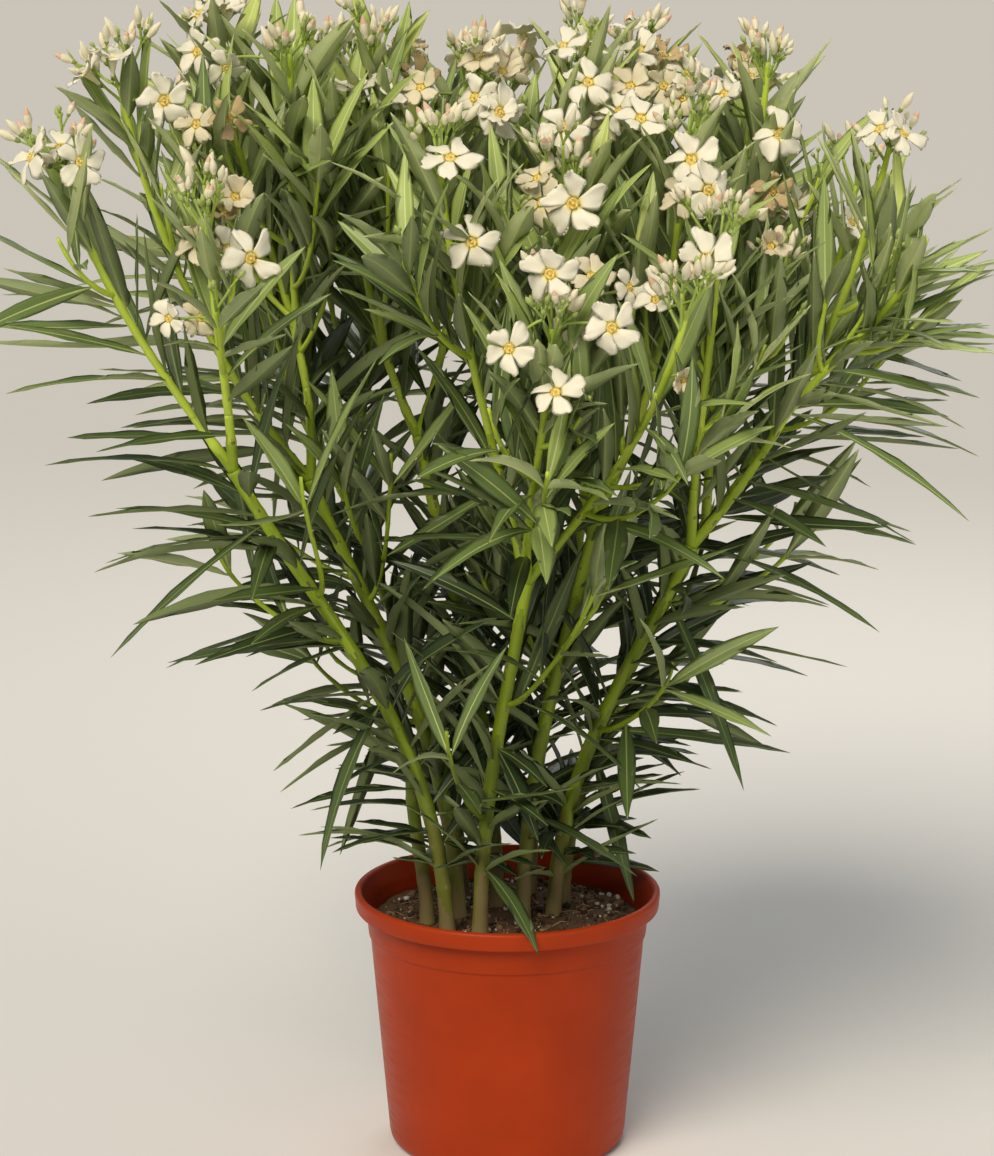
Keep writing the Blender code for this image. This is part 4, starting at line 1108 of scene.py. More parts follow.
def leaf_size(habit, f):
    """A blade's share of the full length, `f` of the way up a shoot."""
    at_foot, lost, least, most = SIZES[habit]
    return (at_foot - lost * f) * rng.uniform(least, most)


leaves = []         # mass, root, aim, side, up, span, width, sag, bow, fold, twist, green
rng = random.Random(77)
stems = [(shoot[0], shoot[2]) for shoot in shoots]
stems += [("cane_" + cane, path) for cane, path in cane_paths.items()]
for root, tip, width, green in REACHING_LEAVES:
    root, tip = from_frame(*root), from_frame(*tip)
    nearest = []
    for name, path in stems:
        gaps = np.linalg.norm(path - root, axis=1)
        nearest.append((gaps.min(), name, path[gaps.argmin()]))
    _, name, root = min(nearest, key=lambda stem: stem[0])
    span = np.linalg.norm(tip - root) * 1.01
    flat = unit(tip - root)
    sag = rng.uniform(-0.02, 0.11) * span * math.hypot(flat[0], flat[1]) ** 2
    aim = unit(tip - root + UP * sag)
    side = unit(np.cross(aim, UP) + 0.25 * np.array((rng.uniform(-1, 1), rng.uniform(-1, 1), 0)))
    side = unit(side - aim * np.dot(side, aim))
    up = np.cross(side, aim)
    leaves.append((name, root, aim, side, up, span, SET_WIDTH * width, sag,
                   rng.uniform(-0.2, 1.2), rng.uniform(0.12, 0.30), rng.uniform(-0.5, 0.5), green))

# the shoots' whorls, then those still on the canes and boughs: stem, kind, path, distances, shares
whorls = [(name, kind, path) + whorls_of(kind, stop) for name, kind, path, stop, *_ in shoots]
for name, path in cane_paths.items():
    at = np.arange(0.034, length(path) - 0.010, CANE_WHORL_STEP)
    whorls.append(("cane_" + name, "cane", path, at, 0.0 * at))
for name, _, share, _ in MASSES:
    if share:
        at = np.arange(0.030, bough_ends[name], CANE_WHORL_STEP)
        whorls.append((name, "cane", boughs[name], at, 0.0 * at))

for name, kind, path, heights, shares in whorls:
    turn = rng.uniform(0.0, math.tau)
    tone = rng.uniform(-0.6, 0.6)
    loose = name in OPEN or kind == "side"
    slack = SIDE_SLACK if name.startswith("side_") else SPACE_SLACK
    for s, f in zip(heights, shares):
        root, t = point_at(path, s), tangent(path, s)
        a, b = cross_axes(t)
        turn += math.radians(60.0)
        for j in range(3):
            phi = turn + j * math.tau / 3 + rng.uniform(-0.22, 0.22) * (1 + loose)
            pitch = leaf_angle("main", f ** 0.85)
            size = leaf_size("main", f)
            if loose:
                pitch = leaf_angle("open", f)
                size *= rng.uniform(0.80, 1.06)
            if name in OPEN and kind in ("main", "twig") and rng.random() < LOST_OPEN * (f < 0.70):
                continue
            if kind == "side":
                if f < FREE_TIP and rng.random() < (LOST_OPEN_SIDE if name in OPEN else LOST_SIDE):
                    continue
            if kind in ("side", "twig"):
                pitch = leaf_angle(kind, f)
                size = leaf_size(kind, f)
            elif kind == "cane":
                grown = min(1.0, max(0.0, (root[2] - CANE_THIN) / CANE_THICKENS))
                if rng.random() > CANE_KEPT + CANE_KEPT_MORE * grown:
                    continue
                pitch = math.radians(rng.uniform(*CANE_ANGLE))
                size = (CANE_SIZE + CANE_SIZE_MORE * grown) * rng.uniform(0.78, 1.14)
            at_tip = f > FREE_TIP and kind in ("side", "twig")
            may_hide = at_tip or rng.random() < MAY_HIDE
            roll = rng.gauss(0.0, ROLL)
            droop = rng.uniform(*(OPEN_DROOP if loose else DROOP))
            for ease, shrink, swing in TRIES:
                lean = pitch * ease
                span = LEAF_LENGTH * size * shrink
                phi += swing
                aim = t * math.cos(lean) + round_stem(a, b, phi) * math.sin(lean)
                if aim[2] < 0.0:
                    aim[2] *= HANG_LOW if kind == "side" else HANG
                aim = unit(aim)
                side = face_of(aim, t, roll)
                up = np.cross(side, aim)
                sag = droop * span * math.hypot(aim[0], aim[1]) ** 2
                waist, tip = leaf_lines(root, aim, up, span, sag)
                width = LEAF_WIDTH * (0.65 + 0.27 * size + 0.15 * f) * rng.uniform(0.80, 1.18)
                if loose:
                    width *= 0.88
                probe = blade_probe(root, waist, tip, side, width)
                if kind != "cane" and not in_space(name, probe[::3], slack):
                    continue
                if not clears_limbs(probe) or not within_reach(probe):
                    continue
                if covers_sky(probe) and not at_tip:
                    continue
                if hides_limb(probe[6:]) and not may_hide:
                    continue
                # the height term makes leaves lighter high in the crown and darker low down: partly
                # younger growth, partly painted light and painted shade
                age = OLD_AT_FOOT - YOUNG_AT_TIP * f - YOUTH_AND_PAINTED_LIGHT_BY_HEIGHT * (root[2] - MIDDLE_HEIGHT)
                bow = rng.uniform(*(OPEN_BOW if loose else BOW))
                fold, twist = rng.uniform(*FOLD), rng.uniform(*TWIST)
                green = int(np.clip(round(age + tone + rng.uniform(-0.5, 0.5)), 0, OLDEST))
                leaves.append((name, root, aim, side, up, span, width, sag, bow, fold, twist, green))
                break

# the stem under the front right head is bare
BARE_ABOVE = 0.617
leaves = [leaf for leaf in leaves if leaf[0] != "front_right" or leaf[1][2] < BARE_ABOVE]


def blades(rows):
    """Closed lens-shaped blades from rows of `leaves`, all at once, with their finishes."""
    fields = [np.array(field) for field in zip(*rows)]
    root, aim, side, up = (field[:, None] for field in fields[1:5])
    span, width, sag, bow, fold, twist = (field[:, None, None] for field in fields[5:11])
    v = BLADE_ROWS[None, :, None]
    tip_v = np.append(BLADE_ROWS, 1.0)[None, :, None]
    arch = BOW_RISE * tip_v - BOW_FALL * tip_v ** 2
    line = root + aim * span * tip_v + up * span * bow * arch - UP * sag * tip_v ** 1.6
    along = np.gradient(line, axis=1)
    along /= np.linalg.norm(along, axis=2, keepdims=True)
    face = np.cross(side, along)
    face /= np.linalg.norm(face, axis=2, keepdims=True)
    flat = np.cross(along, face)
    c, s = np.cos(twist * tip_v), np.sin(twist * tip_v)
    side, face = flat * c + face * s, face * c - flat * s
    line, side, face, last = line[:, :-1], side[:, :-1], face[:, :-1], line[:, -1:]
    half = width / 2 * BLADE_HALF[None, :, None]
    rib = np.minimum(RIB_HALF * (1.25 - v), half * 0.45)
    wave = 0.0007 * np.sin(v * 17 + 40 * fold) * (BLADE_HALF[None, :, None] > 0.4)
    curl = fold * half * 1.12
    columns = [(-half, fold * half + wave), (-half * 0.55, curl * 0.55), (-rib, 0.0 * rib),
               (rib, 0.0 * rib), (half * 0.55, curl * 0.55), (half, fold * half - wave)]
    columns += [(rib * 1.3, fold * rib - BLADE_THICK), (0.0 * rib, -BLADE_THICK - rib * 1.1),
                (-rib * 1.3, fold * rib - BLADE_THICK)]
    ring = np.stack([line + side * x + face * z for x, z in columns], axis=2)
    count, rows_n, sides = ring.shape[:3]
    points = np.concatenate((ring.reshape(count, -1, 3), last), axis=1)
    each = rows_n * sides + 1
    quads = ring_quads(rows_n, sides).reshape(-1, sides, 4)
    quads[:, (5, 8)] = np.roll(quads[:, (5, 8)], -1, axis=2)    # both faces fold on one diagonal
    quads = quads.reshape(-1, 4)
    i = np.arange(sides)
    j = (i + 1) % sides
    top = (rows_n - 1) * sides
    fan = np.stack((np.full(sides, each - 1), top + i, top + j), 1)
    foot = np.arange(sides)[None, ::-1]
    green = fields[11]
    kinds = np.array((0, 0, 1, 0, 0, 2, 1, 1, 2))       # upper, rib or lower, for each side
    # ribs and lower faces follow the leaf's green, painted shade and light included
    rib_green = len(UPPERS) + green // 2
    by_leaf = np.stack((green, rib_green, len(RIBS) + rib_green), 1)
    skins = by_leaf[:, kinds]
    shift = (np.arange(count) * each)[:, None, None]
    return points.reshape(-1, 3), (
        ((quads[None] + shift).reshape(-1, 4), np.tile(skins, (1, rows_n - 1)).ravel()),
        ((fan[None] + shift).reshape(-1, 3), skins.ravel()),
        ((foot[None] + shift).reshape(-1, sides), skins[:, 1]))


quarter_of = {"cane_" + c[0]: c[0].split("_")[0] for c in CANES}
quarter_of.update({m[0]: m[1].split("_")[0] for m in MASSES})
quarter_of.update({"side_" + s[0]: s[1].split("_")[0] for s in SIDE_SHOOTS})
for quarter in ("left", "centre", "right", "back"):
    rows = [leaf for leaf in leaves if quarter_of[leaf[0]] == quarter]
    foliage = joined("leaves_" + quarter, [blades(rows)], LEAVES)
    nodes = ["mass_" + m[0] for m in MASSES if quarter_of[m[0]] == quarter]
    nodes += ["side_" + s[0] for s in SIDE_SHOOTS if quarter_of["side_" + s[0]] == quarter]
    fit(foliage, "foliage", *nodes)

# -------------------------------------------------------------------------------- blossom
# Clusters of cream flowers end the shoots, on stalks that fork again and again: five slanting
# petals like a propeller, a fringed crown and a golden throat that narrows to a tube in a small
# green cup.  Between them stand rolled spindle buds and spent flowers like parchment.
PETAL_REACH = 0.0218
THROAT = 0.0034
TUBE = 0.0175
BUDS_PER_CLUSTER = 27
BUDS_PER_TWIG = 4
SMALL_CLUSTER = ("far_right", 12, 0.016)        # the one small head: mass, buds, reach of its arms
ARM_REACH, HIGH_ARM_REACH = 0.030, 0.023        # reach of a cluster's arms, and at the very top
HIGH = 0.835
TWIG_ARM_REACH = 0.014
ARMS_PER_CLUSTER, ARMS_PER_TWIG = 6, 2
BARE_TWIGS = 0.45           # share of the twigs that have no buds
LOWEST_TWIG_BUDS = 0.60     # twigs that end lower have none either
ARM_SPREAD, FLOWER_SPREAD, BUD_SPREAD = (16, 50), (20, 58), (14, 40)    # from the stem (degrees)
ARM_SLACK, FLOWER_SLACK = 0.020, 0.024          # how far they may enter a neighbour's space
FLOWER_TRIES = 150
FLOWER_OUT = (0.024, 0.048) # from the stem's tip to a flower's middle
FLOWER_GAP = 0.028          # least distance between the middles of two flowers
BUD_GAP = 0.012             # least distance between a bud and a flower's middle
LARGEST_GREEN_BUD = 0.010
ROSY_SHARE = 0.32           # share of the larger buds with a rosy tip
ARM_RADII, FLOWER_RADII, BUD_RADII = (0.0013, 0.0010), (0.0011, 0.0011), (0.0008, 0.0007)
PETAL_HALF = 0.0086         # half the width of a petal

# the flowers that face the front, by mass and its cluster: centre as column, row and depth in
# the camera's frame, way it faces (x, y, z), size, how far open, and age (fresh, past, spent)
FRONT_FLOWERS = {
    ("far_left", 0): (
        (30, 157, -0.150, (-0.75, -0.45, 0.45), 0.95, 0.90, 0),
        (60, 146, -0.135, (-0.05, -0.35, 0.95), 0.90, 0.80, 0),
        (80, 162, -0.160, (0.45, -0.75, 0.35), 0.92, 0.90, 0),
    ),
    ("left_outer", 0): (
        (86, 72, -0.020, (-0.65, -0.35, 0.65), 0.88, 0.80, 0),
        (112, 60, -0.030, (0.05, -0.15, 1.00), 0.85, 0.70, 0),
        (163, 101, -0.050, (0.05, -1.00, 0.15), 0.98, 1.00, 0),
    ),
    ("left_crest", 0): (
        (198, 14, 0.030, (-0.60, -0.45, 0.50), 0.92, 0.90, 0),
        (222, 8, 0.040, (0.10, -0.10, 1.00), 0.90, 0.70, 0),
        (196, 52, 0.010, (-0.50, -0.75, 0.25), 0.92, 1.00, 0),
        (222, 70, 0.020, (0.30, -0.80, 0.50), 0.76, 0.80, 0),
    ),
    ("left_crest", 1): (
        (225, 68, -0.020, (0.35, -0.80, -0.20), 0.75, 0.80, 0),
        (196, 124, -0.050, (-0.35, -0.85, 0.25), 0.85, 0.80, 1),
        (228, 118, -0.060, (0.25, -0.85, 0.35), 0.85, 0.70, 2),
    ),
    ("left_face", 0): (
        (197, 242, -0.160, (-0.40, -0.70, 0.30), 0.85, 0.80, 1),
        (225, 212, -0.140, (0.20, -0.60, 0.70), 0.80, 0.50, 2),
        (250, 258, -0.190, (0.35, -0.90, -0.10), 1.02, 1.00, 0),
        (168, 318, -0.150, (-0.50, -0.80, 0.10), 0.70, 0.70, 0),
        (200, 318, -0.130, (0.30, -0.90, 0.10), 0.75, 0.70, 1),
        (234, 197, -0.140, (0.20, -0.90, 0.45), 0.80, 0.60, 1),
        (226, 249, -0.160, (-0.30, -0.95, 0.15), 0.82, 0.80, 0),
    ),
    ("mid_crest", 0): (
        (294, 38, 0.050, (0.10, -0.45, 0.85), 1.00, 0.90, 0),
    ),
    ("mid_crest", 1): (
        (356, 90, -0.010, (-0.10, -0.40, 0.90), 0.90, 0.80, 0),
        (386, 88, -0.010, (0.60, -0.60, 0.40), 0.80, 0.70, 0),
        (420, 88, 0.000, (-0.15, -0.85, 0.50), 0.80, 0.60, 1),
        (391, 94, 0.000, (0.20, -0.85, 0.50), 0.72, 0.70, 0),
    ),
    ("mid_heart", 0): (
        (416, 76, 0.030, (0.25, -0.65, 0.60), 0.90, 0.70, 2),
        (478, 52, 0.040, (0.05, -0.30, 1.00), 0.85, 0.45, 0),
        (474, 98, 0.010, (-0.40, -0.85, 0.35), 0.95, 0.95, 0),
        (500, 112, 0.000, (0.40, -0.90, 0.15), 1.00, 1.00, 0),
        (506, 68, 0.070, (0.50, -0.30, 0.80), 0.90, 0.80, 1),
        (478, 57, 0.040, (-0.30, -0.80, 0.55), 0.90, 0.70, 1),
        (502, 72, 0.050, (0.25, -0.70, 0.65), 0.85, 0.50, 1),
        (499, 115, 0.000, (0.15, -0.75, 0.65), 0.85, 0.80, 0),
    ),
    ("centre_face", 0): (
        (450, 157, -0.140, (0.00, -0.60, 0.75), 1.00, 0.95, 0),
        (470, 242, -0.150, (0.15, -0.90, 0.30), 1.00, 0.95, 0),
    ),
    ("centre_heart", 0): (
        (563, 127, -0.060, (-0.05, -1.00, 0.12), 0.88, 1.00, 0),
        (572, 203, -0.125, (0.08, -1.00, 0.08), 1.16, 1.00, 0),
        (541, 203, -0.095, (-0.45, -0.90, 0.20), 0.95, 1.00, 1),
        (536, 178, -0.085, (-0.45, -0.60, 0.60), 0.80, 0.80, 1),
    ),
    ("centre_heart", 1): (
        (562, 46, 0.020, (-0.25, -0.40, 0.90), 0.95, 0.85, 0),
        (586, 43, 0.035, (0.45, -0.35, 0.80), 0.82, 0.80, 0),
        (588, 82, 0.000, (0.20, -0.75, 0.60), 1.00, 0.95, 0),
        (608, 124, 0.000, (-0.60, -0.70, -0.30), 0.85, 0.70, 1),
        (630, 86, 0.020, (0.15, -0.80, 0.60), 0.90, 0.70, 1),
    ),
    ("right_heart", 0): (
        (641, 118, -0.030, (0.05, -0.75, 0.60), 1.00, 0.95, 0),
        (618, 112, -0.010, (-0.65, -0.60, 0.40), 0.90, 0.90, 0),
        (690, 160, -0.070, (-0.10, -0.80, 0.50), 1.05, 1.00, 0),
        (708, 190, -0.085, (0.25, -0.95, 0.15), 1.05, 1.00, 0),
        (681, 196, -0.065, (-0.55, -0.75, 0.05), 0.90, 0.80, 1),
    ),
    ("back_crest", 0): (
        (640, 50, 0.090, (-0.30, -0.60, 0.70), 0.95, 0.90, 0),
        (664, 56, 0.100, (0.10, -0.50, 0.80), 1.00, 0.80, 2),
        (686, 74, 0.090, (0.45, -0.60, 0.50), 0.90, 0.90, 0),
        (630, 29, 0.110, (0.00, -0.10, 1.00), 0.80, 0.70, 0),
        (664, 86, 0.080, (0.00, -0.90, 0.30), 0.85, 0.80, 1),
        (688, 73, 0.100, (0.20, -0.75, 0.65), 0.82, 0.80, 0),
        (683, 97, 0.080, (-0.20, -0.90, 0.35), 0.82, 0.60, 1),
    ),
    ("front_bouquet", 0): (
        (548, 274, -0.225, (-0.03, -1.00, 0.05), 0.99, 1.00, 0),
        (508, 348, -0.235, (-0.05, -1.00, 0.02), 0.92, 1.00, 0),
        (577, 322, -0.195, (-0.30, -0.90, 0.15), 0.92, 1.00, 1),
        (611, 328, -0.240, (0.12, -1.00, 0.05), 0.99, 1.00, 0),
        (554, 392, -0.240, (-0.10, -0.70, 0.60), 0.92, 0.90, 0),
        (590, 276, -0.175, (0.30, -0.70, 0.55), 0.84, 0.90, 1),
        (628, 287, -0.165, (0.60, -0.70, 0.30), 0.75, 0.90, 0),
    ),
    ("right_face", 0): (
        (705, 260, -0.145, (0.08, -0.85, 0.50), 1.10, 1.00, 0),
        (652, 292, -0.150, (-0.40, -0.65, 0.60), 0.80, 0.80, 0),
    ),
    ("right_face", 1): (
        (770, 246, -0.070, (0.20, -0.80, 0.50), 0.75, 0.35, 1),
    ),
    ("right_crest", 0): (
        (780, 134, 0.010, (0.10, -0.90, 0.40), 1.06, 1.00, 0),
        (724, 94, 0.040, (-0.45, -0.60, 0.50), 0.85, 0.80, 0),
        (750, 76, 0.070, (0.00, -0.50, 0.80), 0.80, 0.70, 1),
        (772, 192, -0.005, (0.30, -0.80, 0.20), 0.85, 0.60, 2),
        (756, 206, 0.000, (-0.25, -0.90, 0.35), 0.78, 0.60, 1),
        (794, 204, 0.030, (0.40, -0.85, 0.35), 0.72, 0.70, 0),
        (728, 99, 0.050, (-0.20, -0.60, 0.75), 0.72, 0.50, 0),
    ),
    ("right_outer", 0): (
        (792, 206, 0.060, (0.20, -0.80, 0.40), 0.90, 0.80, 1),
        (852, 222, 0.050, (0.50, -0.70, 0.30), 0.75, 0.60, 0),
    ),
    ("far_right", 0): (
        (880, 128, -0.050, (-0.45, -0.50, 0.70), 0.95, 0.85, 0),
        (903, 133, -0.060, (0.55, -0.55, 0.60), 0.88, 0.85, 0),
    ),
    ("front_right", 0): (
        (654, 300, -0.172, (-0.40, -0.85, 0.35), 0.72, 0.80, 0),
        (682, 380, -0.190, (0.25, -0.95, -0.15), 0.60, 0.35, 1),
    ),
}


def petal_skin(name, colour, roughness):
    """Thin satin petal, faintly puckered about every 1.5 mm."""
    made, tree, shader = start_finish(name, colour, roughness, 1.40)
    shader.inputs["Sheen Weight"].default_value = 0.15
    grained(tree, shader, 0.0015, 2.0, 0.20, 0.0003)
    return made


BLOSSOM = [petal_skin("cream_petal", "e9e4cd", 0.55), petal_skin("past_petal", "e0d5b3", 0.60),
           petal_skin("spent_petal", "c2aa7a", 0.75), petal_skin("golden_throat", "f3d566", 0.50),
           petal_skin("fringed_crown", "eee098", 0.55), petal_skin("flower_tube", "e6dcae", 0.55),
           petal_skin("green_cup", "8f9f4e", 0.55), petal_skin("bud_skin", "e7dfc0", 0.50),
           petal_skin("rosy_bud_tip", "ddb89a", 0.50), petal_skin("young_green_bud", "a7b765", 0.50),
           petal_skin("flower_stalk_bark", "a4bb52", 0.45)]
(CREAM, PAST, SPENT, GOLD, CROWN, PALE_TUBE, CUP, BUD, ROSY, GREEN_BUD, STALK) = range(11)


def spokes(a):
    """The ways out from and round a flower's middle, at an angle."""
    return np.array((math.cos(a), math.sin(a), 0.0)), np.array((-math.sin(a), math.cos(a), 0.0))


def spike(foot, tip, out, on, half, depth):
    """The four points of a small spike: three at its foot, then its tip."""
    return np.array((foot - on * half, foot + on * half, foot - out * depth, tip))


def place_on(shape, centre, facing, scale=1.0):
    """Puts a shape made round +Z at a place, facing a way."""
    a, b = cross_axes(facing)
    return centre + scale * (shape[..., :1] * a + shape[..., 1:2] * b + shape[..., 2:] * facing)


PETAL_ROWS, PETAL_COLUMNS = 9, 7


def petal_shape(opening, rng):
    """One petal along +X from the throat: its rows and columns of points, upper face."""
    u, v = np.meshgrid(np.linspace(-1, 1, PETAL_COLUMNS), np.linspace(0, 1, PETAL_ROWS))
    half = np.interp(v, (0, 0.12, 0.3, 0.5, 0.7, 0.86, 1),
                     (0.34, 0.46, 0.66, 0.88, 1.0, 0.92, 0.56)) * PETAL_HALF
    reach = (1 - rng.uniform(0.16, 0.34) * ((1 - u) / 2) ** 1.3 - 0.05 * ((1 + u) / 2) ** 8
             + 0.03 * np.sin(5 * u + rng.uniform(0, 6)))
    x = (PETAL_REACH - THROAT) * v * (1 + (reach - 1) * v ** 2)
    y = u * half + 0.0030 * v ** 2 * rng.uniform(0.6, 1.4)
    z = (0.0022 * v - rng.uniform(-0.0010, 0.0100) * v ** 2 + rng.uniform(-0.0030, 0.0022) * u ** 2 * v
         + rng.uniform(0.0008, 0.0034) * u * v + 0.0012 * np.sin(6 * u + rng.uniform(0, 6)) * v ** 2
         + 0.0007 * np.sin(9 * v + rng.uniform(0, 6)) * u)
    lift = math.radians(78.0) * (1 - opening) + rng.uniform(-0.30, 0.36)
    x, z = x * math.cos(lift) - z * math.sin(lift), x * math.sin(lift) + z * math.cos(lift)
    return np.stack((x + THROAT, y, z), axis=2)


grid = np.arange(PETAL_ROWS * PETAL_COLUMNS).reshape(PETAL_ROWS, PETAL_COLUMNS)
under = grid.copy()
under[1:-1, 1:-1] = grid.size + np.arange((PETAL_ROWS - 2) * (PETAL_COLUMNS - 2)).reshape(
    PETAL_ROWS - 2, PETAL_COLUMNS - 2)


def sheet_quads(index):
    return np.stack((index[:-1, :-1], index[1:, :-1], index[1:, 1:], index[:-1, 1:]),
                    axis=2).reshape(-1, 4)


petal_faces = np.vstack((sheet_quads(grid), sheet_quads(under)[:, ::-1]))
# the first row of each face, by the throat, is yellow
by_throat = np.tile(np.repeat(np.arange(PETAL_ROWS - 1) < 1, PETAL_COLUMNS - 1), 2)
tube_profile = np.array(((0, -TUBE), (0.0015, -TUBE), (0.0013, -0.0148), (0.0019, -0.0105),
                         (0.0030, -0.0048), (0.0039, -0.0006), (0.0034, 0.0005), (0.0024, -0.0001),
                         (0.0012, -0.0006), (0, -0.0008)))
anther_profile = np.array(((0, -0.0010), (0.0010, -0.0008), (0.0012, 0.0008), (0.0006, 0.0024),
                           (0, 0.0031)))
spike_faces = np.array(((0, 2, 1), (0, 1, 3), (1, 2, 3), (2, 0, 3)))


def flower(centre, facing, size, opening, age, rng):
    """An open flower as joined parts: petals, tube and throat, crown, anthers and cup."""
    parts = []
    spin = rng.uniform(0, math.tau)
    skin = (CREAM, PAST, SPENT)[age]
    for k in range(5):
        turn = spin + k * math.tau / 5 + rng.uniform(-0.08, 0.08)
        top = petal_shape(opening * rng.uniform(0.92, 1.04), rng)
        top *= (rng.uniform(0.88, 1.08), rng.uniform(0.84, 1.14), 1)
        low = top[1:-1, 1:-1] - (0, 0, 0.00040)
        petal = np.vstack((top.reshape(-1, 3), low.reshape(-1, 3)))
        if age == 2:
            petal[:, 2] += 0.0022 * np.sin(petal[:, 0] * 420 + k) * (petal[:, 0] > 0.012)
            petal[:, 1] *= 0.70
        c, s = math.cos(turn), math.sin(turn)
        petal = np.stack((petal[:, 0] * c - petal[:, 1] * s, petal[:, 0] * s + petal[:, 1] * c,
                          petal[:, 2]), axis=1)
        parts.append((place_on(petal, centre, facing, size),
                      ((petal_faces, np.where(by_throat, CROWN, skin)),)))
        for j in (-1, 0, 1):
            out, on = spokes(turn + j * 0.30 + rng.uniform(-0.06, 0.06))
            root = out * 0.0033 + (0, 0, -0.0004)
            height = rng.uniform(0.0024, 0.0044)
            tip = root - out * rng.uniform(0, 0.0012) + (0, 0, height)
            tooth = spike(root, tip, out, on, 0.0006, 0.0005)
            parts.append((place_on(tooth, centre, facing, size),
                          ((spike_faces, CROWN if age < 2 else SPENT),)))
    spots, walls, caps = turned(tube_profile, 10)
    skins = np.repeat((CUP, PALE_TUBE, PALE_TUBE, PALE_TUBE, CROWN, GOLD, GOLD), 10)
    parts.append((place_on(spots, centre, facing, size),
                  ((walls, skins), (caps, np.repeat((CUP, GOLD), 10)))))
    spots, walls, caps = turned(anther_profile, 6)
    parts.append((place_on(spots, centre, facing, size), ((walls, GOLD), (caps, CROWN))))
    for k in range(5):
        out, on = spokes(k * math.tau / 5)
        foot = out * 0.0015 - (0, 0, TUBE + 0.0006)
        lobe = spike(foot, out * 0.0026 - (0, 0, TUBE - 0.0046), out, on, 0.0010, 0.0006)
        parts.append((place_on(lobe, centre, facing, size), ((spike_faces, CUP),)))
    return parts


bud_profile = np.array(((0, 0), (0.42, 0.02), (0.60, 0.10), (0.55, 0.20), (0.86, 0.36), (1.0, 0.52),
                        (0.84, 0.70), (0.50, 0.86), (0.20, 0.96), (0, 1.0)))


def bud(foot, facing, run, wide, skin, tip_skin):
    """A spindle bud rolled with five turning ridges, in its small green cup."""
    spots, walls, caps = turned(bud_profile * (wide, run), 10)
    height = spots[:, 2] / run
    turn = np.arctan2(spots[:, 1], spots[:, 0])
    ridge = 1 + 0.09 * np.cos(5 * turn) * (height > 0.25)
    twist = 1.5 * height
    r = np.hypot(spots[:, 0], spots[:, 1]) * ridge
    spots = np.stack((r * np.cos(turn + twist), r * np.sin(turn + twist), spots[:, 2]), axis=1)
    skins = np.repeat((CUP, CUP, skin, skin, skin, tip_skin, tip_skin), 10)
    return place_on(spots, foot, facing), ((walls, skins), (caps, np.repeat((CUP, tip_skin), 10)))


def stalk(start, lean, end, facing, radii_at_ends, sides=6, count=9):
    """A flower stalk that leaves along `lean` and arrives along `facing`."""
    reach = np.linalg.norm(end - start)
    line = bezier(start, start + unit(lean) * 0.38 * reach, end - unit(facing) * 0.34 * reach,
                  end, count)
    radii = np.linspace(*radii_at_ends, count)
    radii[-1] *= 1.25
    spots, walls, caps = limb(line, radii, sides)
    return spots, ((walls, STALK), (caps, STALK))


def leaning(t, a, b, turn, spread):
    """A way that leans `spread` from a stem's own, at the angle `turn` round it."""
    return t * math.cos(spread) + round_stem(a, b, turn) * math.sin(spread)


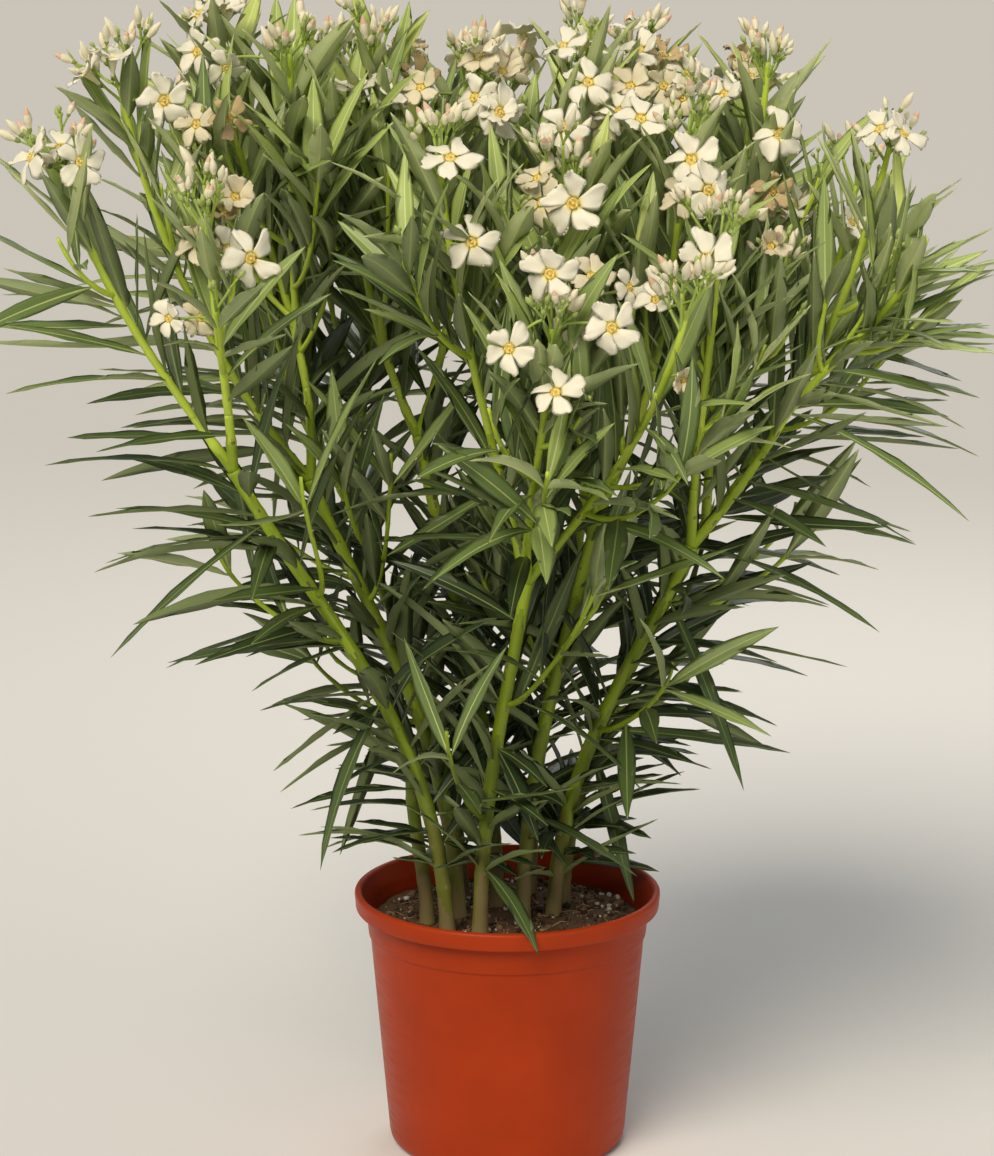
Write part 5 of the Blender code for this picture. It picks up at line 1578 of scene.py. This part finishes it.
rng = random.Random(515)
open_flowers, bud_parts, stalk_parts = [], [], []
cluster_no = {}
for name, kind, path, _, _, flowers in shoots:
    if kind == "side":
        continue
    if kind == "twig":
        if rng.random() < BARE_TWIGS or path[-1][2] < LOWEST_TWIG_BUDS:
            continue
        count, wanted, reach = BUDS_PER_TWIG, (), TWIG_ARM_REACH
    else:
        k = cluster_no.get(name, 0)
        cluster_no[name] = k + 1
        wanted = FRONT_FLOWERS.get((name, k), ())
        if not flowers and not wanted:
            continue
        count, reach = BUDS_PER_CLUSTER, ARM_REACH if path[-1][2] < HIGH else HIGH_ARM_REACH
        if name == SMALL_CLUSTER[0]:
            _, count, reach = SMALL_CLUSTER
    tip, t = path[-1], tangent(path, length(path) - 0.004)
    a, b = cross_axes(t)
    # the stalk forks near its top into arms, and each arm again into buds and flowers
    turn = rng.uniform(0, math.tau)
    arms = []
    for _ in range(ARMS_PER_TWIG if kind == "twig" else ARMS_PER_CLUSTER):
        turn += GOLDEN_TURN
        aim = unit(leaning(t, a, b, turn, math.radians(rng.uniform(*ARM_SPREAD))))
        back = 0.001 if kind == "twig" else rng.uniform(0.0, 0.020)
        start = point_at(path, length(path) - back)
        end = start + aim * reach * rng.uniform(0.6, 1.25)
        if not in_space(name, end[None], ARM_SLACK):
            continue
        upturned = unit(aim + UP * 0.3)
        stalk_parts.append(stalk(start - t * 0.001, t * 0.4 + aim, end, upturned, ARM_RADII))
        arms.append((end, upturned))
    if not arms:
        arms.append((tip, t))
    flowers_here = []
    for column, row, y, facing, size, opening, age in wanted:
        flowers_here.append((from_frame(column, row, y), unit(facing), size, opening, age))
    tries = 0 if wanted or kind == "twig" else FLOWER_TRIES
    while len(flowers_here) < flowers and tries > 0:
        tries -= 1
        turn += GOLDEN_TURN
        spread = math.radians(rng.uniform(*FLOWER_SPREAD))
        outward = unit(np.array((tip[0], tip[1], 0.0)) + 1e-6)
        aim = unit(leaning(t, a, b, turn, spread) + outward * 0.3)
        centre = tip + aim * rng.uniform(*FLOWER_OUT)
        crowded = any(np.linalg.norm(centre - f[0]) < FLOWER_GAP for f in flowers_here)
        if crowded or not in_space(name, centre[None], FLOWER_SLACK):
            continue
        flowers_here.append((centre, unit(aim + outward * 0.5 + UP * 0.15), rng.uniform(0.85, 1.1),
                             rng.uniform(0.8, 1.0), rng.choice((0, 0, 0, 1, 2))))
    for centre, facing, size, opening, age in flowers_here:
        open_flowers += flower(centre, facing, size, opening, age, rng)
        foot = centre - facing * (TUBE + 0.0004) * size
        starts = [(np.linalg.norm(foot - end) + 0.02 * (end[2] > foot[2] + 0.01), end, aim)
                  for end, aim in arms]
        for s in np.linspace(0.45, 1.0, 12) * length(path):
            spot = point_at(path, s)
            starts.append((np.linalg.norm(foot - spot) + 0.015 + 0.03 * (spot[2] > foot[2]), spot,
                           tangent(path, s)))
        _, start, aim = min(starts, key=lambda c: c[0])
        lean = aim * 0.5 + unit(foot - start)
        stalk_parts.append(stalk(start, lean, foot, facing, FLOWER_RADII, 6, 12))
    for k in range(count):
        end, aim = arms[k % len(arms)]
        turn += GOLDEN_TURN
        spread = math.radians(rng.uniform(*BUD_SPREAD))
        way = unit(leaning(aim, *cross_axes(aim), turn, spread) + UP * 0.12)
        run = 0.005 + 0.017 * rng.random() ** 1.4 if kind != "twig" else rng.uniform(0.004, 0.010)
        wide = 0.0012 + 0.100 * run
        foot = end + way * rng.uniform(0.004, 0.014)
        middle = foot + way * run * 0.5
        if any(np.linalg.norm(middle - f[0]) < BUD_GAP for f in flowers_here):
            continue
        if run < LARGEST_GREEN_BUD:
            skins = (GREEN_BUD, GREEN_BUD)
        else:
            skins = (BUD, ROSY if rng.random() < ROSY_SHARE else BUD)
        stalk_parts.append(stalk(end, aim + way, foot + way * 0.0004, way, BUD_RADII, 5, 5))
        bud_parts.append(bud(foot, way, run, wide, *skins))
for piece, made in (("open_flowers", open_flowers), ("buds", bud_parts),
                    ("flower_stalks", stalk_parts)):
    fit(joined(piece, made, BLOSSOM), "foliage", *masses)

# ------------------------------------------------------------------------ floor and light
# A matt pale floor, painted board, that runs out of sight; one broad soft key light from the
# upper left of the front, a weak lamp from the right and one behind the crown.
FLOOR_REACH = 80.0
KEY_SPREAD = math.radians(34.0)
CAMERA_SIDE = -0.0081       # sets the pot's middle on its column of the frame
floor_paint, tree, shader = start_finish("painted_floor", "d9d7d2", 0.80, 1.45)
grained(tree, shader, 0.003, 2.0, 0.05, 0.0002)
r = FLOOR_REACH
board = np.array(((-r, -r, 0.0), (r, -r, 0.0), (r, r, 0.0), (-r, r, 0.0)))
floor = joined("floor", [(board, ((np.array(((0, 1, 2, 3),)), 0),))], [floor_paint])

world = bpy.data.worlds.new("studio")
bpy.context.scene.world = world
world.use_nodes = True
background = world.node_tree.nodes["Background"]
background.inputs["Color"].default_value = linear("dfe3e8")
background.inputs["Strength"].default_value = 0.32


def hang_lamp(name, kind, spot, aim, power, colour, settings):
    """Hangs a lamp at a place and turns it to what it lights."""
    lamp = bpy.data.lights.new(name, kind)
    lamp.energy = power
    lamp.color = linear(colour)[:3]
    for key, value in settings.items():
        setattr(lamp, key, value)
    held = in_scene(name, lamp)
    held.location = spot
    held.rotation_euler = (Vector(aim) - Vector(spot)).to_track_quat("-Z", "Y").to_euler()


hang_lamp("key_lamp", "SUN", (0.0, 0.0, 0.0), (0.95, 1.9, -2.2), 2.85, "fff5e6",
          {"angle": KEY_SPREAD})
hang_lamp("fill_lamp", "AREA", (1.9, -1.9, 1.1), (0.0, 0.0, 0.55), 11.0, "fff8ee",
          {"shape": "SQUARE", "size": 1.4})
hang_lamp("back_lamp", "AREA", (0.5, 1.9, 1.9), (0.0, 0.0, 0.60), 14.0, "ffffff",
          {"shape": "SQUARE", "size": 1.2})

camera = in_scene("camera", bpy.data.cameras.new("camera"))
camera.data.sensor_width = 36.0
camera.data.lens = 99.31            # FRAME_SCALE pixels to a slope of one
camera.data.clip_end = 200.0
camera.location = (CAMERA_SIDE, *FRAME_EYE[1:])
camera.rotation_euler = (math.radians(90.0) - FRAME_TILT, 0.0, 0.0)
bpy.context.scene.camera = camera
bpy.context.scene.view_settings.view_transform = "Standard"
